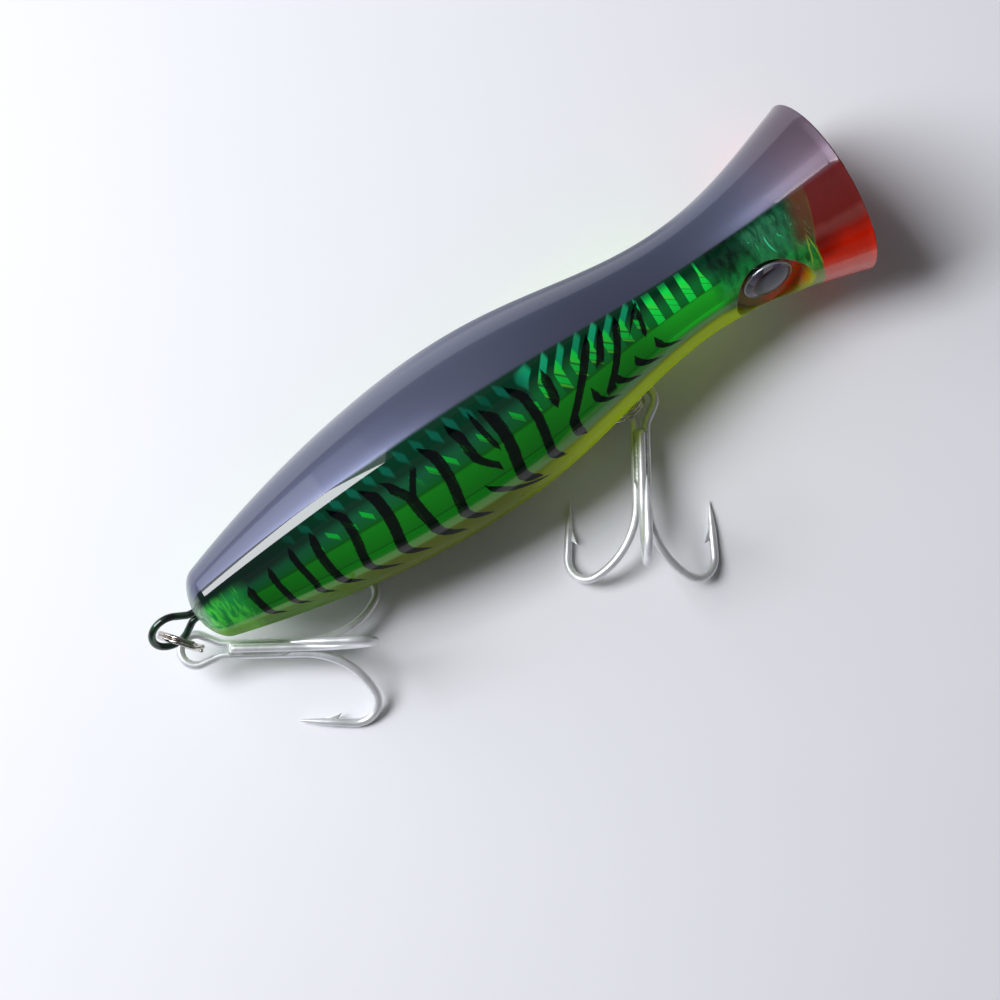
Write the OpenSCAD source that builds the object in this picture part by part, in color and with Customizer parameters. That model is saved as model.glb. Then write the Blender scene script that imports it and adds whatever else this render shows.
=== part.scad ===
// Topwater popper: a hollow two-half fishing lure that lies on its side.
// +X runs from the tail to the mouth, +Z is up from the surface it lies on.
// Unless a comment says otherwise, parts of the body are drawn upright along X,
// with the back up (+Z) and the left flank on +Y, and lying() then rolls them.

/* [Body] */
// Length from the tail end to the middle of the mouth rim
body_len = 120; // [112:1:132]
// Largest diameter of the body
belly_dia = 28.8; // [28:0.2:31]
// Distance of the largest diameter from the tail end
belly_pos = 50.5; // [46:0.5:54]
// Diameter of the neck behind the head
neck_dia = 18.6; // [17.6:0.2:20]
// Distance of the neck from the mouth rim
neck_back = 27; // [24:0.5:29]
// Diameter of the mouth rim
mouth_dia = 30; // [29:0.2:33]
// Lean of the mouth plane, the upper lip forward
mouth_lean = 4; // [0:0.5:7]
// Depth of the cupped face behind the rim
cup_depth = 7; // [5.5:0.25:8]
// Flat width of the lip round the cup
lip = 1.4; // [1:0.1:2.4]
// Wall thickness of the two halves
wall = 1.6; // [1.4:0.1:2.1]

/* [Eyes] */
// Diameter of the printed eye disc
eye_dia = 8.8; // [7.4:0.2:9.6]
// Distance of the eye centre behind the mouth rim
eye_back = 16.7; // [15.5:0.1:18]
// Height of the clear dome over the disc
dome_h = 1.2; // [0.5:0.1:1.4]

/* [Wires and rings] */
// Wire of the three fixed eyes
eye_wire = 1.2; // [1:0.05:1.3]
// Wire of the split rings
ring_wire = 0.7; // [0.5:0.05:0.75]
// Outer diameter of the split rings
ring_dia = 7.8; // [7.6:0.1:9]

/* [Hooks] */
// Wire of the treble hooks
hook_wire = 1.4; // [1.1:0.05:1.5]
// Reach of a hook's point section from the shank axis
hook_reach = 13.75; // [12:0.25:15]
// Length of the shank from its neck to the widest part of the bend
hook_shank = 20.15; // [18:0.25:23]

/* [Ballast] */
// Diameter of the rattle balls
ball_dia = 7; // [6:0.5:8]
// Travel of each rattle ball along its cell
ball_travel = 6; // [3:0.5:6.5]
// Length of the belly weight
belly_weight_len = 10; // [8:1:18]
// Length of the tail weight
tail_weight_len = 6.5; // [5:0.5:10]

/* [Hidden] */
$fn = 64;

// Body outline: radii and stations along the axis
belly_r = belly_dia / 2;
neck_r = neck_dia / 2;
mouth_r = mouth_dia / 2;
tail_r = 5.1;
tail_round = 3.2;
neck_pos = body_len - neck_back;
tail_fullness = 1.8;
waist_fullness = 1.13;
flare_power = 1.85;
flare_ease = 0.12;
profile_steps = 40;
round_steps = 7;

// How the lure lies on a surface: roll of its back away from upright, and height
// of its axis, which leaves the lowest point of the rim on the surface
roll = 35;
axis_height = body_r(body_len - mouth_r * cos(roll) * tan(mouth_lean));

// Hollow inside the halves
hollow_start = 14.5;
cup_floor = 5;
hollow_end = body_len - cup_depth - cup_floor;
rib = 1.4;
fit_gap = 0.05;
// How far cuts and joined solids run past the surface that they meet
over = 1;

// Reflective foil behind each flank
foil_t = 0.25;
foil_half_angle = 58;
foil_start = 17;
foil_end = neck_pos + 2;
foil_room = foil_t + 4 * fit_gap;

// Eye seats: flat-bottomed round pockets that face a little downwards
eye_pos = body_len - eye_back;
seat_depth = 1.3;
seat_r = neck_r - seat_depth;
seat_tilt = 15;
seat_edge = 2.1;
seat_wall = 1.5;
disc_t = 0.4;

// Fixed wire eyes, each an outer loop, two legs and an inner loop round a peg
leg_gap = 0.2;
wire_sides = 10;
arc_step = 14;
leg_half = (eye_wire + leg_gap) / 2;
anchor_r = 2.1;
anchor_neck_r = 1.6;
anchor_flare = 38;
peg_r = anchor_r - eye_wire / 2 - fit_gap;
wire_room = eye_wire / 2 + fit_gap;
anchor_wall = 1.5;
anchor_room = anchor_r + wire_room;

// Tail loop
tail_loop_r = 3.05;
tail_loop_neck_r = 2;
tail_loop_flare = 40;
tail_leg = 4.2;

// Belly loop
belly_eye_pos = 71.9;
belly_loop_r = 1.9;
belly_loop_neck_r = 1.2;
belly_loop_flare = 30;
belly_loop_out = 2.2;
belly_leg = 3.2;

// Line tie in the mouth
tie_loop_r = 2.1;
tie_loop_neck_r = 1.6;
tie_loop_flare = 30;
tie_leg = 4.6;

// Treble hooks: shanks brazed round a common axis, round bends
shank_r = hook_wire * 0.75;
bend_r = 3.75;
sweep_r = 12.5;
point_lean = 4.3;
point_len = 5.8;
point_tip = 0.12;
point_middle = 0.95;
point_straight = 3.2;
barb_out = 0.85;
barb_back = 1.2;
barb_t = 0.5;
hook_eye_r = 2.45;
hook_eye_neck_r = 3;
hook_eye_flare = 24;
bend_centre_r = hook_reach - bend_r;
sweep_angle = acos((sweep_r + shank_r - bend_centre_r) / (sweep_r - bend_r));
sweep_start = hook_shank - (sweep_r - bend_r) * sin(sweep_angle);
single_start = 0.8;
braze_r = shank_r * 0.95;
braze_start = 0.6;
braze_len = sweep_start - over;
braze_gap = 0.01;
hook_neck = loop_reach(hook_eye_r, hook_eye_neck_r, hook_eye_flare, shank_r * cos(30));

// Split rings
ring_r = (ring_dia - ring_wire) / 2;
ring_pitch = ring_wire * 0.94;
link_gap = 0.25;

// Rest pose of the tail ring and treble
tail_loop_x = -loop_reach(tail_loop_r, tail_loop_neck_r, tail_loop_flare, leg_half);
tail_wire_at = [tail_loop_x, -tail_loop_r * sin(roll), axis_height - tail_loop_r * cos(roll)];
tail_ring_drop = ring_r - ring_wire / 2 - eye_wire / 2 - 2 * link_gap;
tail_ring_shift = 0.1;
tail_ring_at = tail_wire_at + [tail_ring_shift, tail_ring_shift, -tail_ring_drop];
tail_ring_turn = -52;
tail_hook_drop = ring_r - ring_wire / 2 - hook_wire / 2 - link_gap;
tail_hook_turn = -33;
tail_hook_tilt = 1.8;
tail_eye_side = -62;
tail_hook_at = tail_ring_at
    + [hook_eye_r * cos(tail_eye_side), hook_eye_r * sin(tail_eye_side), -tail_hook_drop];

// Rest pose of the belly ring and treble
belly_surface = body_r(belly_eye_pos);
belly_loop_depth = belly_surface + belly_loop_out;
belly_loop_at = [belly_eye_pos, -belly_loop_depth * sin(roll), axis_height - belly_loop_depth * cos(roll)];
belly_ring_way = [0.895, -0.355, 0.261];
belly_ring_slack = 0.1;
belly_ring_at = belly_loop_at + (ring_r - belly_ring_slack) * belly_ring_way;
belly_ring_tilt = -53.7;
belly_ring_yaw = -3;
belly_hook_way = [0.902, -0.292, 0.322];
belly_hook_slack = 0.45;
belly_hook_at = belly_ring_at + (ring_r - belly_hook_slack) * belly_hook_way;
belly_hook_turn = 236.2;
belly_hook_tilt = -5.45;

// The origin: on the surface, under the middle of the whole lure's box
front_end = body_len + mouth_r * tan(mouth_lean);
rear_end = tail_loop_x - tail_loop_r - eye_wire / 2;
right_end = belly_hook_at[1] + (hook_neck + hook_shank + bend_r) * sin(belly_hook_turn)
    + hook_reach * cos(30) * cos(belly_hook_turn);
middle = [(front_end + rear_end) / 2, (mouth_r + right_end) / 2, 0];

// Ballast and rattle cells
weight_r = 4.5;
belly_weight_drop = 6.6;
belly_weight_start = 36;
tail_weight_r = 4;
tail_weight_drop = 2;
tail_weight_start = 18.5;
ball_r = ball_dia / 2;
cell_gap = 0.3;
cell_r = ball_r + cell_gap;
cell_wall = 1;
cell_len = ball_dia + ball_travel + 2 * fit_gap;
race_rise = 4.2;
race_start = 34;
front_ball_behind_neck = 3;
front_cell_start = neck_pos - front_ball_behind_neck - cell_len / 2;
rear_ball_x = race_start + cell_len / 2;
middle_ball_x = rear_ball_x + cell_len + rib;
front_ball_x = front_cell_start + cell_len / 2;

// Locating pegs that line up the two halves, in bosses half sunk in the wall
peg_dia = 2;
peg_len = 3;
peg_boss = 4.4;
boss_half = 4;
rear_peg_x = race_start - rib - peg_boss / 4;
middle_peg_x = belly_eye_pos - peg_boss;
front_peg_x = front_cell_start - rib - peg_boss / 4;
pegs = [
    [rear_peg_x, peg_z(rear_peg_x)], [rear_peg_x, -peg_z(rear_peg_x)],
    [middle_peg_x, peg_z(middle_peg_x)], [front_peg_x, peg_z(front_peg_x)]
];

// Radius of the body at a distance x from the tail end: a rounded tail, a full
// belly, a narrow neck and a mouth that flares like a trumpet
function tail_part(x) = belly_r - (belly_r - tail_r) * pow(1 - x / belly_pos, tail_fullness);
function waist_part(x) = let (u = (x - belly_pos) / (neck_pos - belly_pos))
    neck_r + (belly_r - neck_r) * (1 + cos(180 * pow(u, waist_fullness))) / 2;
function flare_part(x) = let (u = (x - neck_pos) / neck_back)
    neck_r + (mouth_r - neck_r) * pow(u, flare_power) * (1 + flare_ease * (1 - pow(u, 4)));
function end_round(x) = x >= tail_round ? 1 : sqrt(1 - pow(1 - x / tail_round, 2));
function body_r(x) =
    x < belly_pos ? tail_part(x) * end_round(x)
    : x < neck_pos ? waist_part(x)
    : flare_part(x);

// Height of a locating peg, whose boss reaches from the wall into the hollow
function peg_z(x) = body_r(x) - wall - peg_boss / 4;

// Stations from a to b, n steps
function stations(a, b, n) = [for (i = [0 : n]) a + (b - a) * i / n];

// Distance from a loop's neck to its centre: loop radius, neck bend radius, flare
// angle of the legs and half the distance between the legs
function loop_leg(r, neck, flare, half) = (r * cos(flare) - half - neck * (1 - cos(flare))) / sin(flare);
function loop_reach(r, neck, flare, half) =
    neck * sin(flare) + loop_leg(r, neck, flare, half) * cos(flare) + r * sin(flare);

// Points of a line walked step by step in a plane, without its start:
// [length, 0] goes straight, [radius, angle] turns left, or right if negative
function walk(steps, at = [0, 0], way = 0, i = 0) =
    i == len(steps) ? []
    : let (size = steps[i][0], turn = steps[i][1])
    turn == 0
        ? let (next = at + size * [cos(way), sin(way)])
            concat([next], walk(steps, next, way, i + 1))
        : let (
            side = sign(turn),
            centre = at + side * size * [-sin(way), cos(way)],
            n = ceil(abs(turn) / arc_step),
            arc = [for (k = [1 : n]) centre
                + side * size * [sin(way + turn * k / n), -cos(way + turn * k / n)]]
        )
            concat(arc, walk(steps, arc[n - 1], way + turn, i + 1));

function reversed(list) = [for (i = [len(list) - 1 : -1 : 0]) list[i]];
function inner_points(list) = [for (i = [1 : len(list) - 2]) list[i]];
function unit(v) = v / norm(v);

// Half of a teardrop loop in its plane, from its far end to its neck at x = 0
function half_loop(r, neck, flare, half) =
    let (start = [-loop_reach(r, neck, flare, half) - r, 0])
    concat([start], walk([[r, -90 - flare], [loop_leg(r, neck, flare, half), 0], [neck, flare]], start, 90));

// Half of a fixed eye: half the outer loop, a leg and half the anchor loop
function half_eye(r, neck, flare, leg) =
    let (anchor = loop_leg(anchor_r, anchor_neck_r, anchor_flare, leg_half))
    concat(half_loop(r, neck, flare, leg_half), walk([
        [leg, 0], [anchor_neck_r, anchor_flare], [anchor, 0], [anchor_r, -90 - anchor_flare]
    ], [0, leg_half]));

// Directions across a line, carried along it without twist
function across(ways, first, i = 0) =
    i == len(ways) ? []
    : let (n = unit(first - (first * ways[i]) * ways[i])) concat([n], across(ways, n, i + 1));

// A round wire along the points, with a radius at each, closed into a loop or with two ends
module swept_wire(points, radii, first, closed = false) {
    last = len(points) - 1;
    ways = [for (i = [0 : last]) unit(
        points[i < last ? i + 1 : closed ? 0 : i] - points[i > 0 ? i - 1 : closed ? last : i])];
    sides = across(ways, first);
    corners = [for (i = [0 : last], k = [0 : wire_sides - 1])
        let (a = 360 * k / wire_sides)
        points[i] + radii[i] * (cos(a) * sides[i] + sin(a) * cross(ways[i], sides[i]))];
    count = closed ? last : last - 1;
    skin = [for (i = [0 : count], k = [0 : wire_sides - 1], half = [0, 1])
        let (
            p = i * wire_sides + k,
            q = i * wire_sides + (k + 1) % wire_sides,
            r = (i + 1) % (last + 1) * wire_sides + (k + 1) % wire_sides,
            s = (i + 1) % (last + 1) * wire_sides + k
        )
        half == 0 ? [p, s, r] : [p, r, q]];
    ends = closed ? [] : [
        [for (k = [0 : wire_sides - 1]) k],
        [for (k = [wire_sides - 1 : -1 : 0]) last * wire_sides + k]
    ];
    polyhedron(corners, concat(skin, ends), convexity = 10);
}

// A fixed eye: teardrop loop outside, two legs, round anchor loop inside.
// The surface of the body is at the origin, +X points into it
module wire_eye(r, neck, flare, leg) {
    half = half_eye(r, neck, flare, leg);
    other = [for (p = reversed(inner_points(half))) [p[0], -p[1]]];
    points = [for (p = concat(half, other)) [p[0], p[1], 0]];
    swept_wire(points, [for (p = points) eye_wire / 2], [0, 0, 1], true);
}

// Where the anchor loop's centre lies behind the surface
function anchor_at(leg) = leg + loop_reach(anchor_r, anchor_neck_r, anchor_flare, leg_half);

// The room that a fixed eye's legs and anchor take in the halves
module wire_seat(leg) {
    slot = leg_half + wire_room;
    centre = anchor_at(leg);
    translate([0, 0, -wire_room]) linear_extrude(2 * wire_room) difference() {
        union() {
            translate([centre, 0]) circle(r = anchor_room);
            polygon([
                [-over, -slot], [leg, -slot], [centre, -anchor_room],
                [centre, anchor_room], [leg, slot], [-over, slot]
            ]);
        }
        translate([centre, 0]) circle(r = peg_r);
    }
}

// The solid block that holds an anchor, from a depth under the surface
module anchor_block(leg, depth) {
    far = anchor_at(leg) + anchor_room + anchor_wall;
    side = anchor_room + anchor_wall;
    thick = wire_room + anchor_wall;
    translate([depth, -side, -thick]) cube([far - depth, 2 * side, 2 * thick]);
}

// Moves what is laid out from the tail end to the origin
module settled() { translate(-middle) children(); }

// Puts an upright body part where the lure lies
module lying() {
    settled() translate([0, 0, axis_height]) rotate([-roll, 0, 0]) children();
}

// Places a fixed eye or its seat: +X into the body, loop in the plane between the halves
module at_tail() { rotate([90, 0, 0]) children(); }
module at_belly() {
    translate([belly_eye_pos, 0, -belly_surface]) rotate([0, -90, 0]) rotate([90, 0, 0]) children();
}
module at_mouth() {
    translate([body_len, 0, 0]) rotate([0, mouth_lean / 2, 0])
        translate([-cup_depth, 0, 0]) rotate([0, 0, 180]) rotate([90, 0, 0]) children();
}

// Solid of revolution about X through the given stations, pulled in by inset
module spindle(xs, inset = 0) {
    last = len(xs) - 1;
    outline = [for (x = xs) [max(0, body_r(x) - inset), x]];
    ends = concat([[0, xs[0]]], outline, [[0, xs[last]]]);
    closed = body_r(xs[0]) - inset > 0.01 ? ends : concat(outline, [[0, xs[last]]]);
    rotate([0, 90, 0]) rotate([0, 0, 180]) rotate_extrude() polygon(closed);
}

// Outer form with the leaning mouth plane and the cup
module outer_form() {
    dish_r = (pow(mouth_r - lip, 2) + pow(cup_depth, 2)) / (2 * cup_depth);
    past_rim = mouth_r * tan(mouth_lean) + over / 4;
    tail_xs = [for (i = [0 : round_steps]) tail_round * (1 - cos(90 * i / round_steps))];
    body_xs = stations(tail_round, body_len + past_rim, profile_steps);
    difference() {
        spindle(concat(tail_xs, [for (i = [1 : profile_steps]) body_xs[i]]));
        translate([body_len, 0, 0]) rotate([0, mouth_lean, 0]) {
            translate([0, -mouth_dia, -mouth_dia]) cube([mouth_dia, 2 * mouth_dia, 2 * mouth_dia]);
            translate([dish_r - cup_depth, 0, 0]) sphere(r = dish_r, $fn = 96);
        }
    }
}

// Wedge over one flank, along the whole body; side is 1 for left and -1 for right
module flank_wedge(side) {
    far = 2 * mouth_r;
    rise = far * tan(foil_half_angle);
    rotate([90, 0, 90]) linear_extrude(body_len)
        polygon([[0, 0], [side * far, -side * rise], [side * far, side * rise]]);
}

// Places what is drawn along +Z outwards on an eye seat's axis; side is 1 for left, -1 for right
module at_seat(side) {
    translate([eye_pos, 0, 0]) rotate([-side * (90 + seat_tilt), 0, 0]) children();
}

// The round pocket of an eye seat, from a distance off the axis outwards
module seat_pocket(side, from, grow = 0) {
    at_seat(side) translate([0, 0, from]) cylinder(d = eye_dia + 2 * (seat_edge + grow), h = mouth_r);
}

// Everything moulded inside the hollow: ribs, cells, wire seats and peg bosses
module moulded_inside() {
    race_len = 2 * cell_len + 3 * rib;
    rib_xs = [tail_weight_start + tail_weight_len + fit_gap, race_start - rib,
        middle_ball_x + cell_len / 2, front_cell_start - rib, front_cell_start + cell_len];
    for (x = rib_xs) translate([x, -mouth_r, -mouth_r]) cube([rib, mouth_dia, mouth_dia]);
    translate([race_start - rib, 0, race_rise]) rotate([0, 90, 0])
        cylinder(r = cell_r + cell_wall, h = race_len);
    translate([front_cell_start - rib, 0, 0]) rotate([0, 90, 0])
        cylinder(r = cell_r + cell_wall, h = cell_len + 2 * rib);
    at_belly() anchor_block(belly_leg, 0);
    at_mouth() anchor_block(tie_leg, cup_floor - over);
    translate([belly_weight_start - rib, -weight_r, -belly_r])
        cube([belly_weight_len + 2 * rib, 2 * weight_r, belly_r - belly_weight_drop]);
    translate([hollow_start - over, -tail_weight_r, -belly_r])
        cube([tail_weight_start + tail_weight_len - hollow_start + over, 2 * tail_weight_r, belly_r]);
    for (p = pegs) translate([p[0], 0, p[1]]) rotate([90, 0, 0])
        cylinder(d = peg_boss, h = 2 * boss_half, center = true);
}

// What is cut from the moulded inside: cells, weight beds, wire seats, foil room
module inner_cuts() {
    for (x = [rear_ball_x, middle_ball_x]) translate([x - cell_len / 2, 0, race_rise])
        rotate([0, 90, 0]) cylinder(r = cell_r, h = cell_len);
    translate([front_cell_start, 0, 0]) rotate([0, 90, 0]) cylinder(r = cell_r, h = cell_len);
    translate([belly_weight_start - fit_gap, 0, -belly_weight_drop]) rotate([0, 90, 0])
        cylinder(r = weight_r + fit_gap, h = belly_weight_len + 2 * fit_gap);
    translate([tail_weight_start - fit_gap, 0, -tail_weight_drop]) rotate([0, 90, 0])
        cylinder(r = tail_weight_r + fit_gap, h = tail_weight_len + 2 * fit_gap);
    at_tail() wire_seat(tail_leg);
    at_belly() wire_seat(belly_leg);
    at_mouth() wire_seat(tie_leg);
}

// The hollow: the inner form less what is moulded inside it and behind the eye seats
module hollow() {
    difference() {
        spindle(stations(hollow_start, hollow_end, profile_steps), wall);
        difference() {
            moulded_inside();
            for (side = [-1, 1]) foil_band(side, 0, foil_room);
        }
        for (side = [-1, 1]) seat_pocket(side, seat_r - seat_wall, seat_wall);
    }
}

// A band of the inner wall over one flank, between two depths below that wall
module foil_band(side, from, to) {
    xs = stations(foil_start, foil_end, profile_steps);
    intersection() {
        difference() {
            spindle(xs, wall + from);
            spindle(xs, wall + to);
        }
        flank_wedge(side);
    }
}

// Both halves as one, before they are parted down the middle
module moulded_body() {
    difference() {
        outer_form();
        hollow();
        inner_cuts();
        for (side = [-1, 1]) seat_pocket(side, seat_r);
    }
}

// One half: side is 1 for left and -1 for right
module half_shell(side) {
    intersection() {
        moulded_body();
        translate([-over, side > 0 ? 0 : -mouth_dia, -mouth_dia])
            cube([body_len + mouth_dia, mouth_dia, 2 * mouth_dia]);
    }
}

module shell_right() {
    color("seagreen") lying() difference() {
        half_shell(-1);
        for (p = pegs) translate([p[0], over, p[1]]) rotate([90, 0, 0])
            cylinder(d = peg_dia + 2 * fit_gap, h = peg_len + over + fit_gap);
    }
}

module shell_left() {
    color("darkslategray") lying() union() {
        half_shell(1);
        for (p = pegs) translate([p[0], over, p[1]]) rotate([90, 0, 0])
            cylinder(d = peg_dia, h = peg_len + over);
    }
}

module foil_right() { color("lime") lying() foil_band(-1, fit_gap, fit_gap + foil_t); }
module foil_left() { color("lime") lying() foil_band(1, fit_gap, fit_gap + foil_t); }

// A printed disc on the floor of its seat
module eye_disc(side) {
    at_seat(side) translate([0, 0, seat_r]) cylinder(d = eye_dia, h = disc_t);
}

// A clear plano-convex dome on the disc
module eye_dome(side) {
    cap_r = (pow(eye_dia / 2, 2) + pow(dome_h, 2)) / (2 * dome_h);
    at_seat(side) translate([0, 0, seat_r + disc_t]) intersection() {
        translate([0, 0, dome_h - cap_r]) sphere(r = cap_r, $fn = 128);
        cylinder(d = eye_dia, h = dome_h + over);
    }
}

module eye_disc_right() { color("silver") lying() eye_disc(-1); }
module eye_disc_left() { color("silver") lying() eye_disc(1); }
module eye_dome_right() { color("whitesmoke") lying() eye_dome(-1); }
module eye_dome_left() { color("whitesmoke") lying() eye_dome(1); }

module line_tie_wire() {
    color("darkgreen") lying() at_mouth()
        wire_eye(tie_loop_r, tie_loop_neck_r, tie_loop_flare, tie_leg);
}
module belly_eye_wire() {
    color("darkgreen") lying() at_belly()
        wire_eye(belly_loop_r, belly_loop_neck_r, belly_loop_flare, belly_leg);
}
module tail_eye_wire() {
    color("darkgreen") lying() at_tail()
        wire_eye(tail_loop_r, tail_loop_neck_r, tail_loop_flare, tail_leg);
}

module belly_weight() {
    color("gray") lying() translate([belly_weight_start, 0, -belly_weight_drop])
        rotate([0, 90, 0]) cylinder(r = weight_r, h = belly_weight_len);
}
module tail_weight() {
    color("gray") lying() translate([tail_weight_start, 0, -tail_weight_drop])
        rotate([0, 90, 0]) cylinder(r = tail_weight_r, h = tail_weight_len);
}

module rattle_ball_rear() { color("silver") lying() translate([rear_ball_x, 0, race_rise]) sphere(r = ball_r); }
module rattle_ball_middle() { color("silver") lying() translate([middle_ball_x, 0, race_rise]) sphere(r = ball_r); }
module rattle_ball_front() { color("silver") lying() translate([front_ball_x, 0, 0]) sphere(r = ball_r); }

// A split ring: two turns of wire side by side, drawn flat round Z
module split_ring() {
    rotate_extrude() for (side = [-1, 1])
        translate([ring_r, side * ring_pitch / 2]) circle(d = ring_wire);
}

// One hook from the neck in its plane: shank along x, bend towards y, point.
// start is where its shank begins; the last three points belong to the tapered point
function hook_line(start) = concat([[start, shank_r]], walk([
    [sweep_start - start, 0], [sweep_r, sweep_angle], [bend_r, 180 + point_lean - sweep_angle],
    [point_straight, 0], [point_len / 2, 0], [point_len / 2, 0]
], [start, shank_r]));
function hook_radii(n) =
    [for (i = [0 : n - 1]) i == n - 1 ? point_tip / 2 : i == n - 2 ? point_middle / 2 : hook_wire / 2];

// A line in a hook's plane, turned about the shank axis
function turned(line, angle) = [for (p = line) [p[0], p[1] * cos(angle), p[1] * sin(angle)]];

// The barb: a thin blade raised from the inside of the point, which trails towards the bend
module barb(angle) {
    rotate([angle, 0, 0]) translate([hook_shank, bend_centre_r, 0])
        rotate([0, 0, 180 + point_lean]) translate([point_straight, -bend_r, 0])
        translate([0, 0, -barb_t / 2]) linear_extrude(barb_t) polygon([
            [-barb_back, hook_wire / 2 + barb_out], [point_len * 0.5, point_middle * 0.3],
            [point_len * 0.3, 0], [point_len * 0.1, hook_wire * 0.3]
        ]);
}

// The two-point wire of a treble with the eye it is bent into, and the braze.
// The eye's centre is at the origin, +X runs down the shank, +Z is away from the eye's plane
module hook_double() {
    line = hook_line(0);
    loop = half_loop(hook_eye_r, hook_eye_neck_r, hook_eye_flare, shank_r * cos(30));
    eye = concat([for (p = reversed(loop)) [p[0], -p[1]]], [for (i = [1 : len(loop) - 1]) loop[i]]);
    eye_points = [for (p = inner_points(eye)) [p[0], p[1], -shank_r / 2]];
    points = concat(reversed(turned(line, 210)), eye_points, turned(line, -30));
    radii = concat(
        reversed(hook_radii(len(line))), [for (p = eye_points) hook_wire / 2], hook_radii(len(line)));
    translate([hook_neck, 0, 0]) {
        swept_wire(points, radii, [1, 0, 0]);
        barb(210);
        barb(-30);
        difference() {
            translate([braze_start, 0, braze_r - shank_r]) rotate([0, 90, 0])
                cylinder(r = braze_r, h = braze_len);
            translate([0, 0, shank_r]) rotate([0, 90, 0])
                cylinder(d = hook_wire + 2 * braze_gap, h = braze_start + braze_len + over);
        }
    }
}

// The one-point wire brazed along the double one
module hook_single() {
    line = hook_line(single_start);
    translate([hook_neck, 0, 0]) {
        swept_wire(turned(line, 90), hook_radii(len(line)), [0, 1, 0]);
        barb(90);
    }
}

module at_belly_hook() {
    settled() translate(belly_hook_at) rotate([0, 0, belly_hook_turn]) rotate([0, belly_hook_tilt, 0])
        translate([0, 0, shank_r / 2]) children();
}
module at_tail_hook() {
    settled() translate(tail_hook_at) rotate([0, 0, tail_hook_turn]) rotate([0, tail_hook_tilt, 0])
        translate([0, 0, shank_r / 2]) children();
}

module belly_split_ring() {
    color("lightgray") settled() translate(belly_ring_at) rotate([0, 0, belly_ring_yaw])
        rotate([belly_ring_tilt, 0, 0]) split_ring();
}
module belly_hook_double() { color("gainsboro") at_belly_hook() hook_double(); }
module belly_hook_single() { color("gainsboro") at_belly_hook() hook_single(); }

module tail_split_ring() {
    color("lightgray") settled() translate(tail_ring_at) rotate([0, 0, tail_ring_turn])
        rotate([90, 0, 0]) split_ring();
}
module tail_hook_double() { color("gainsboro") at_tail_hook() hook_double(); }
module tail_hook_single() { color("gainsboro") at_tail_hook() hook_single(); }

shell_right();
shell_left();
foil_right();
foil_left();
eye_disc_right();
eye_disc_left();
eye_dome_right();
eye_dome_left();
line_tie_wire();
belly_eye_wire();
tail_eye_wire();
belly_weight();
tail_weight();
rattle_ball_rear();
rattle_ball_middle();
rattle_ball_front();
belly_split_ring();
belly_hook_double();
belly_hook_single();
tail_split_ring();
tail_hook_double();
tail_hook_single();
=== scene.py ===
"""Looks of a surface popper: lacquered body, printed eyes, wire eyes, split rings and trebles.

Lengths in the functions are millimetres along the lure's own axes, and become metres of the
shared frame in one place, Lay. Angles round the body run from the back (0) to the belly (180).
"""

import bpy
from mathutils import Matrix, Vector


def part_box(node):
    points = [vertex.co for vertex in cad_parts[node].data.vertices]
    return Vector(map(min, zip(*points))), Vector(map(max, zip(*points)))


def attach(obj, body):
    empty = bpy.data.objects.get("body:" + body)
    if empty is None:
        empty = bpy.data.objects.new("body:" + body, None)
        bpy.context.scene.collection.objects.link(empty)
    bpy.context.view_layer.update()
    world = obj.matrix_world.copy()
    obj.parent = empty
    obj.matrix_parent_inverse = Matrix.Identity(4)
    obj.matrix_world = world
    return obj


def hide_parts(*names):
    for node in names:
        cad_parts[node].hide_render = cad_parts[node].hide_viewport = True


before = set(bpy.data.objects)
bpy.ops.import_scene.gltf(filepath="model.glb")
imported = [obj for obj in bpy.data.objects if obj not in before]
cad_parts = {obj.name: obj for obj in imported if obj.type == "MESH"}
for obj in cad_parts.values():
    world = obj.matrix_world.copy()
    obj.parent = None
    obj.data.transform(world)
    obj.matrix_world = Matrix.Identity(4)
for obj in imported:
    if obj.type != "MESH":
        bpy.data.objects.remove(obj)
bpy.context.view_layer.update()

import math

import bpy
import numpy as np
from bpy.props import FloatProperty, FloatVectorProperty, PointerProperty
from mathutils import Matrix, Vector

bl_info = {
    "name": "Surface Popper",
    "version": (1, 0, 0),
    "blender": (4, 5, 0),
    "location": "3D Viewport > Sidebar > Popper",
    "description": "Builds the finish of a cupped-face surface lure round its solid parts",
    "category": "Object",
}

MM = 0.001
BELLY = 180.0  # angle of the belly in degrees, counted from the back
# bent wire loops: radius, radius of the bends at the neck, flare of the legs in degrees
TAIL_LOOP = (3.05, 2.0, 40)
BELLY_LOOP = (1.9, 1.2, 30)
LINE_TIE = (2.1, 1.6, 30)
HOOK_LOOP = (2.45, 3.0, 24)
BELLY_LOOP_AT = 71.9  # from the tail end
LEG_GAP = 0.2  # between the two legs of a fixed eye


def length(name, text, value):
    """A length property, given in millimetres."""
    return FloatProperty(
        name=name, description=text, default=value * MM, unit="LENGTH", precision=5, min=0.0
    )


def colour(name, text, value):
    """A linear colour property."""
    return FloatVectorProperty(
        name=name, description=text, default=value, subtype="COLOR", size=3, min=0.0, max=1.0
    )


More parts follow.
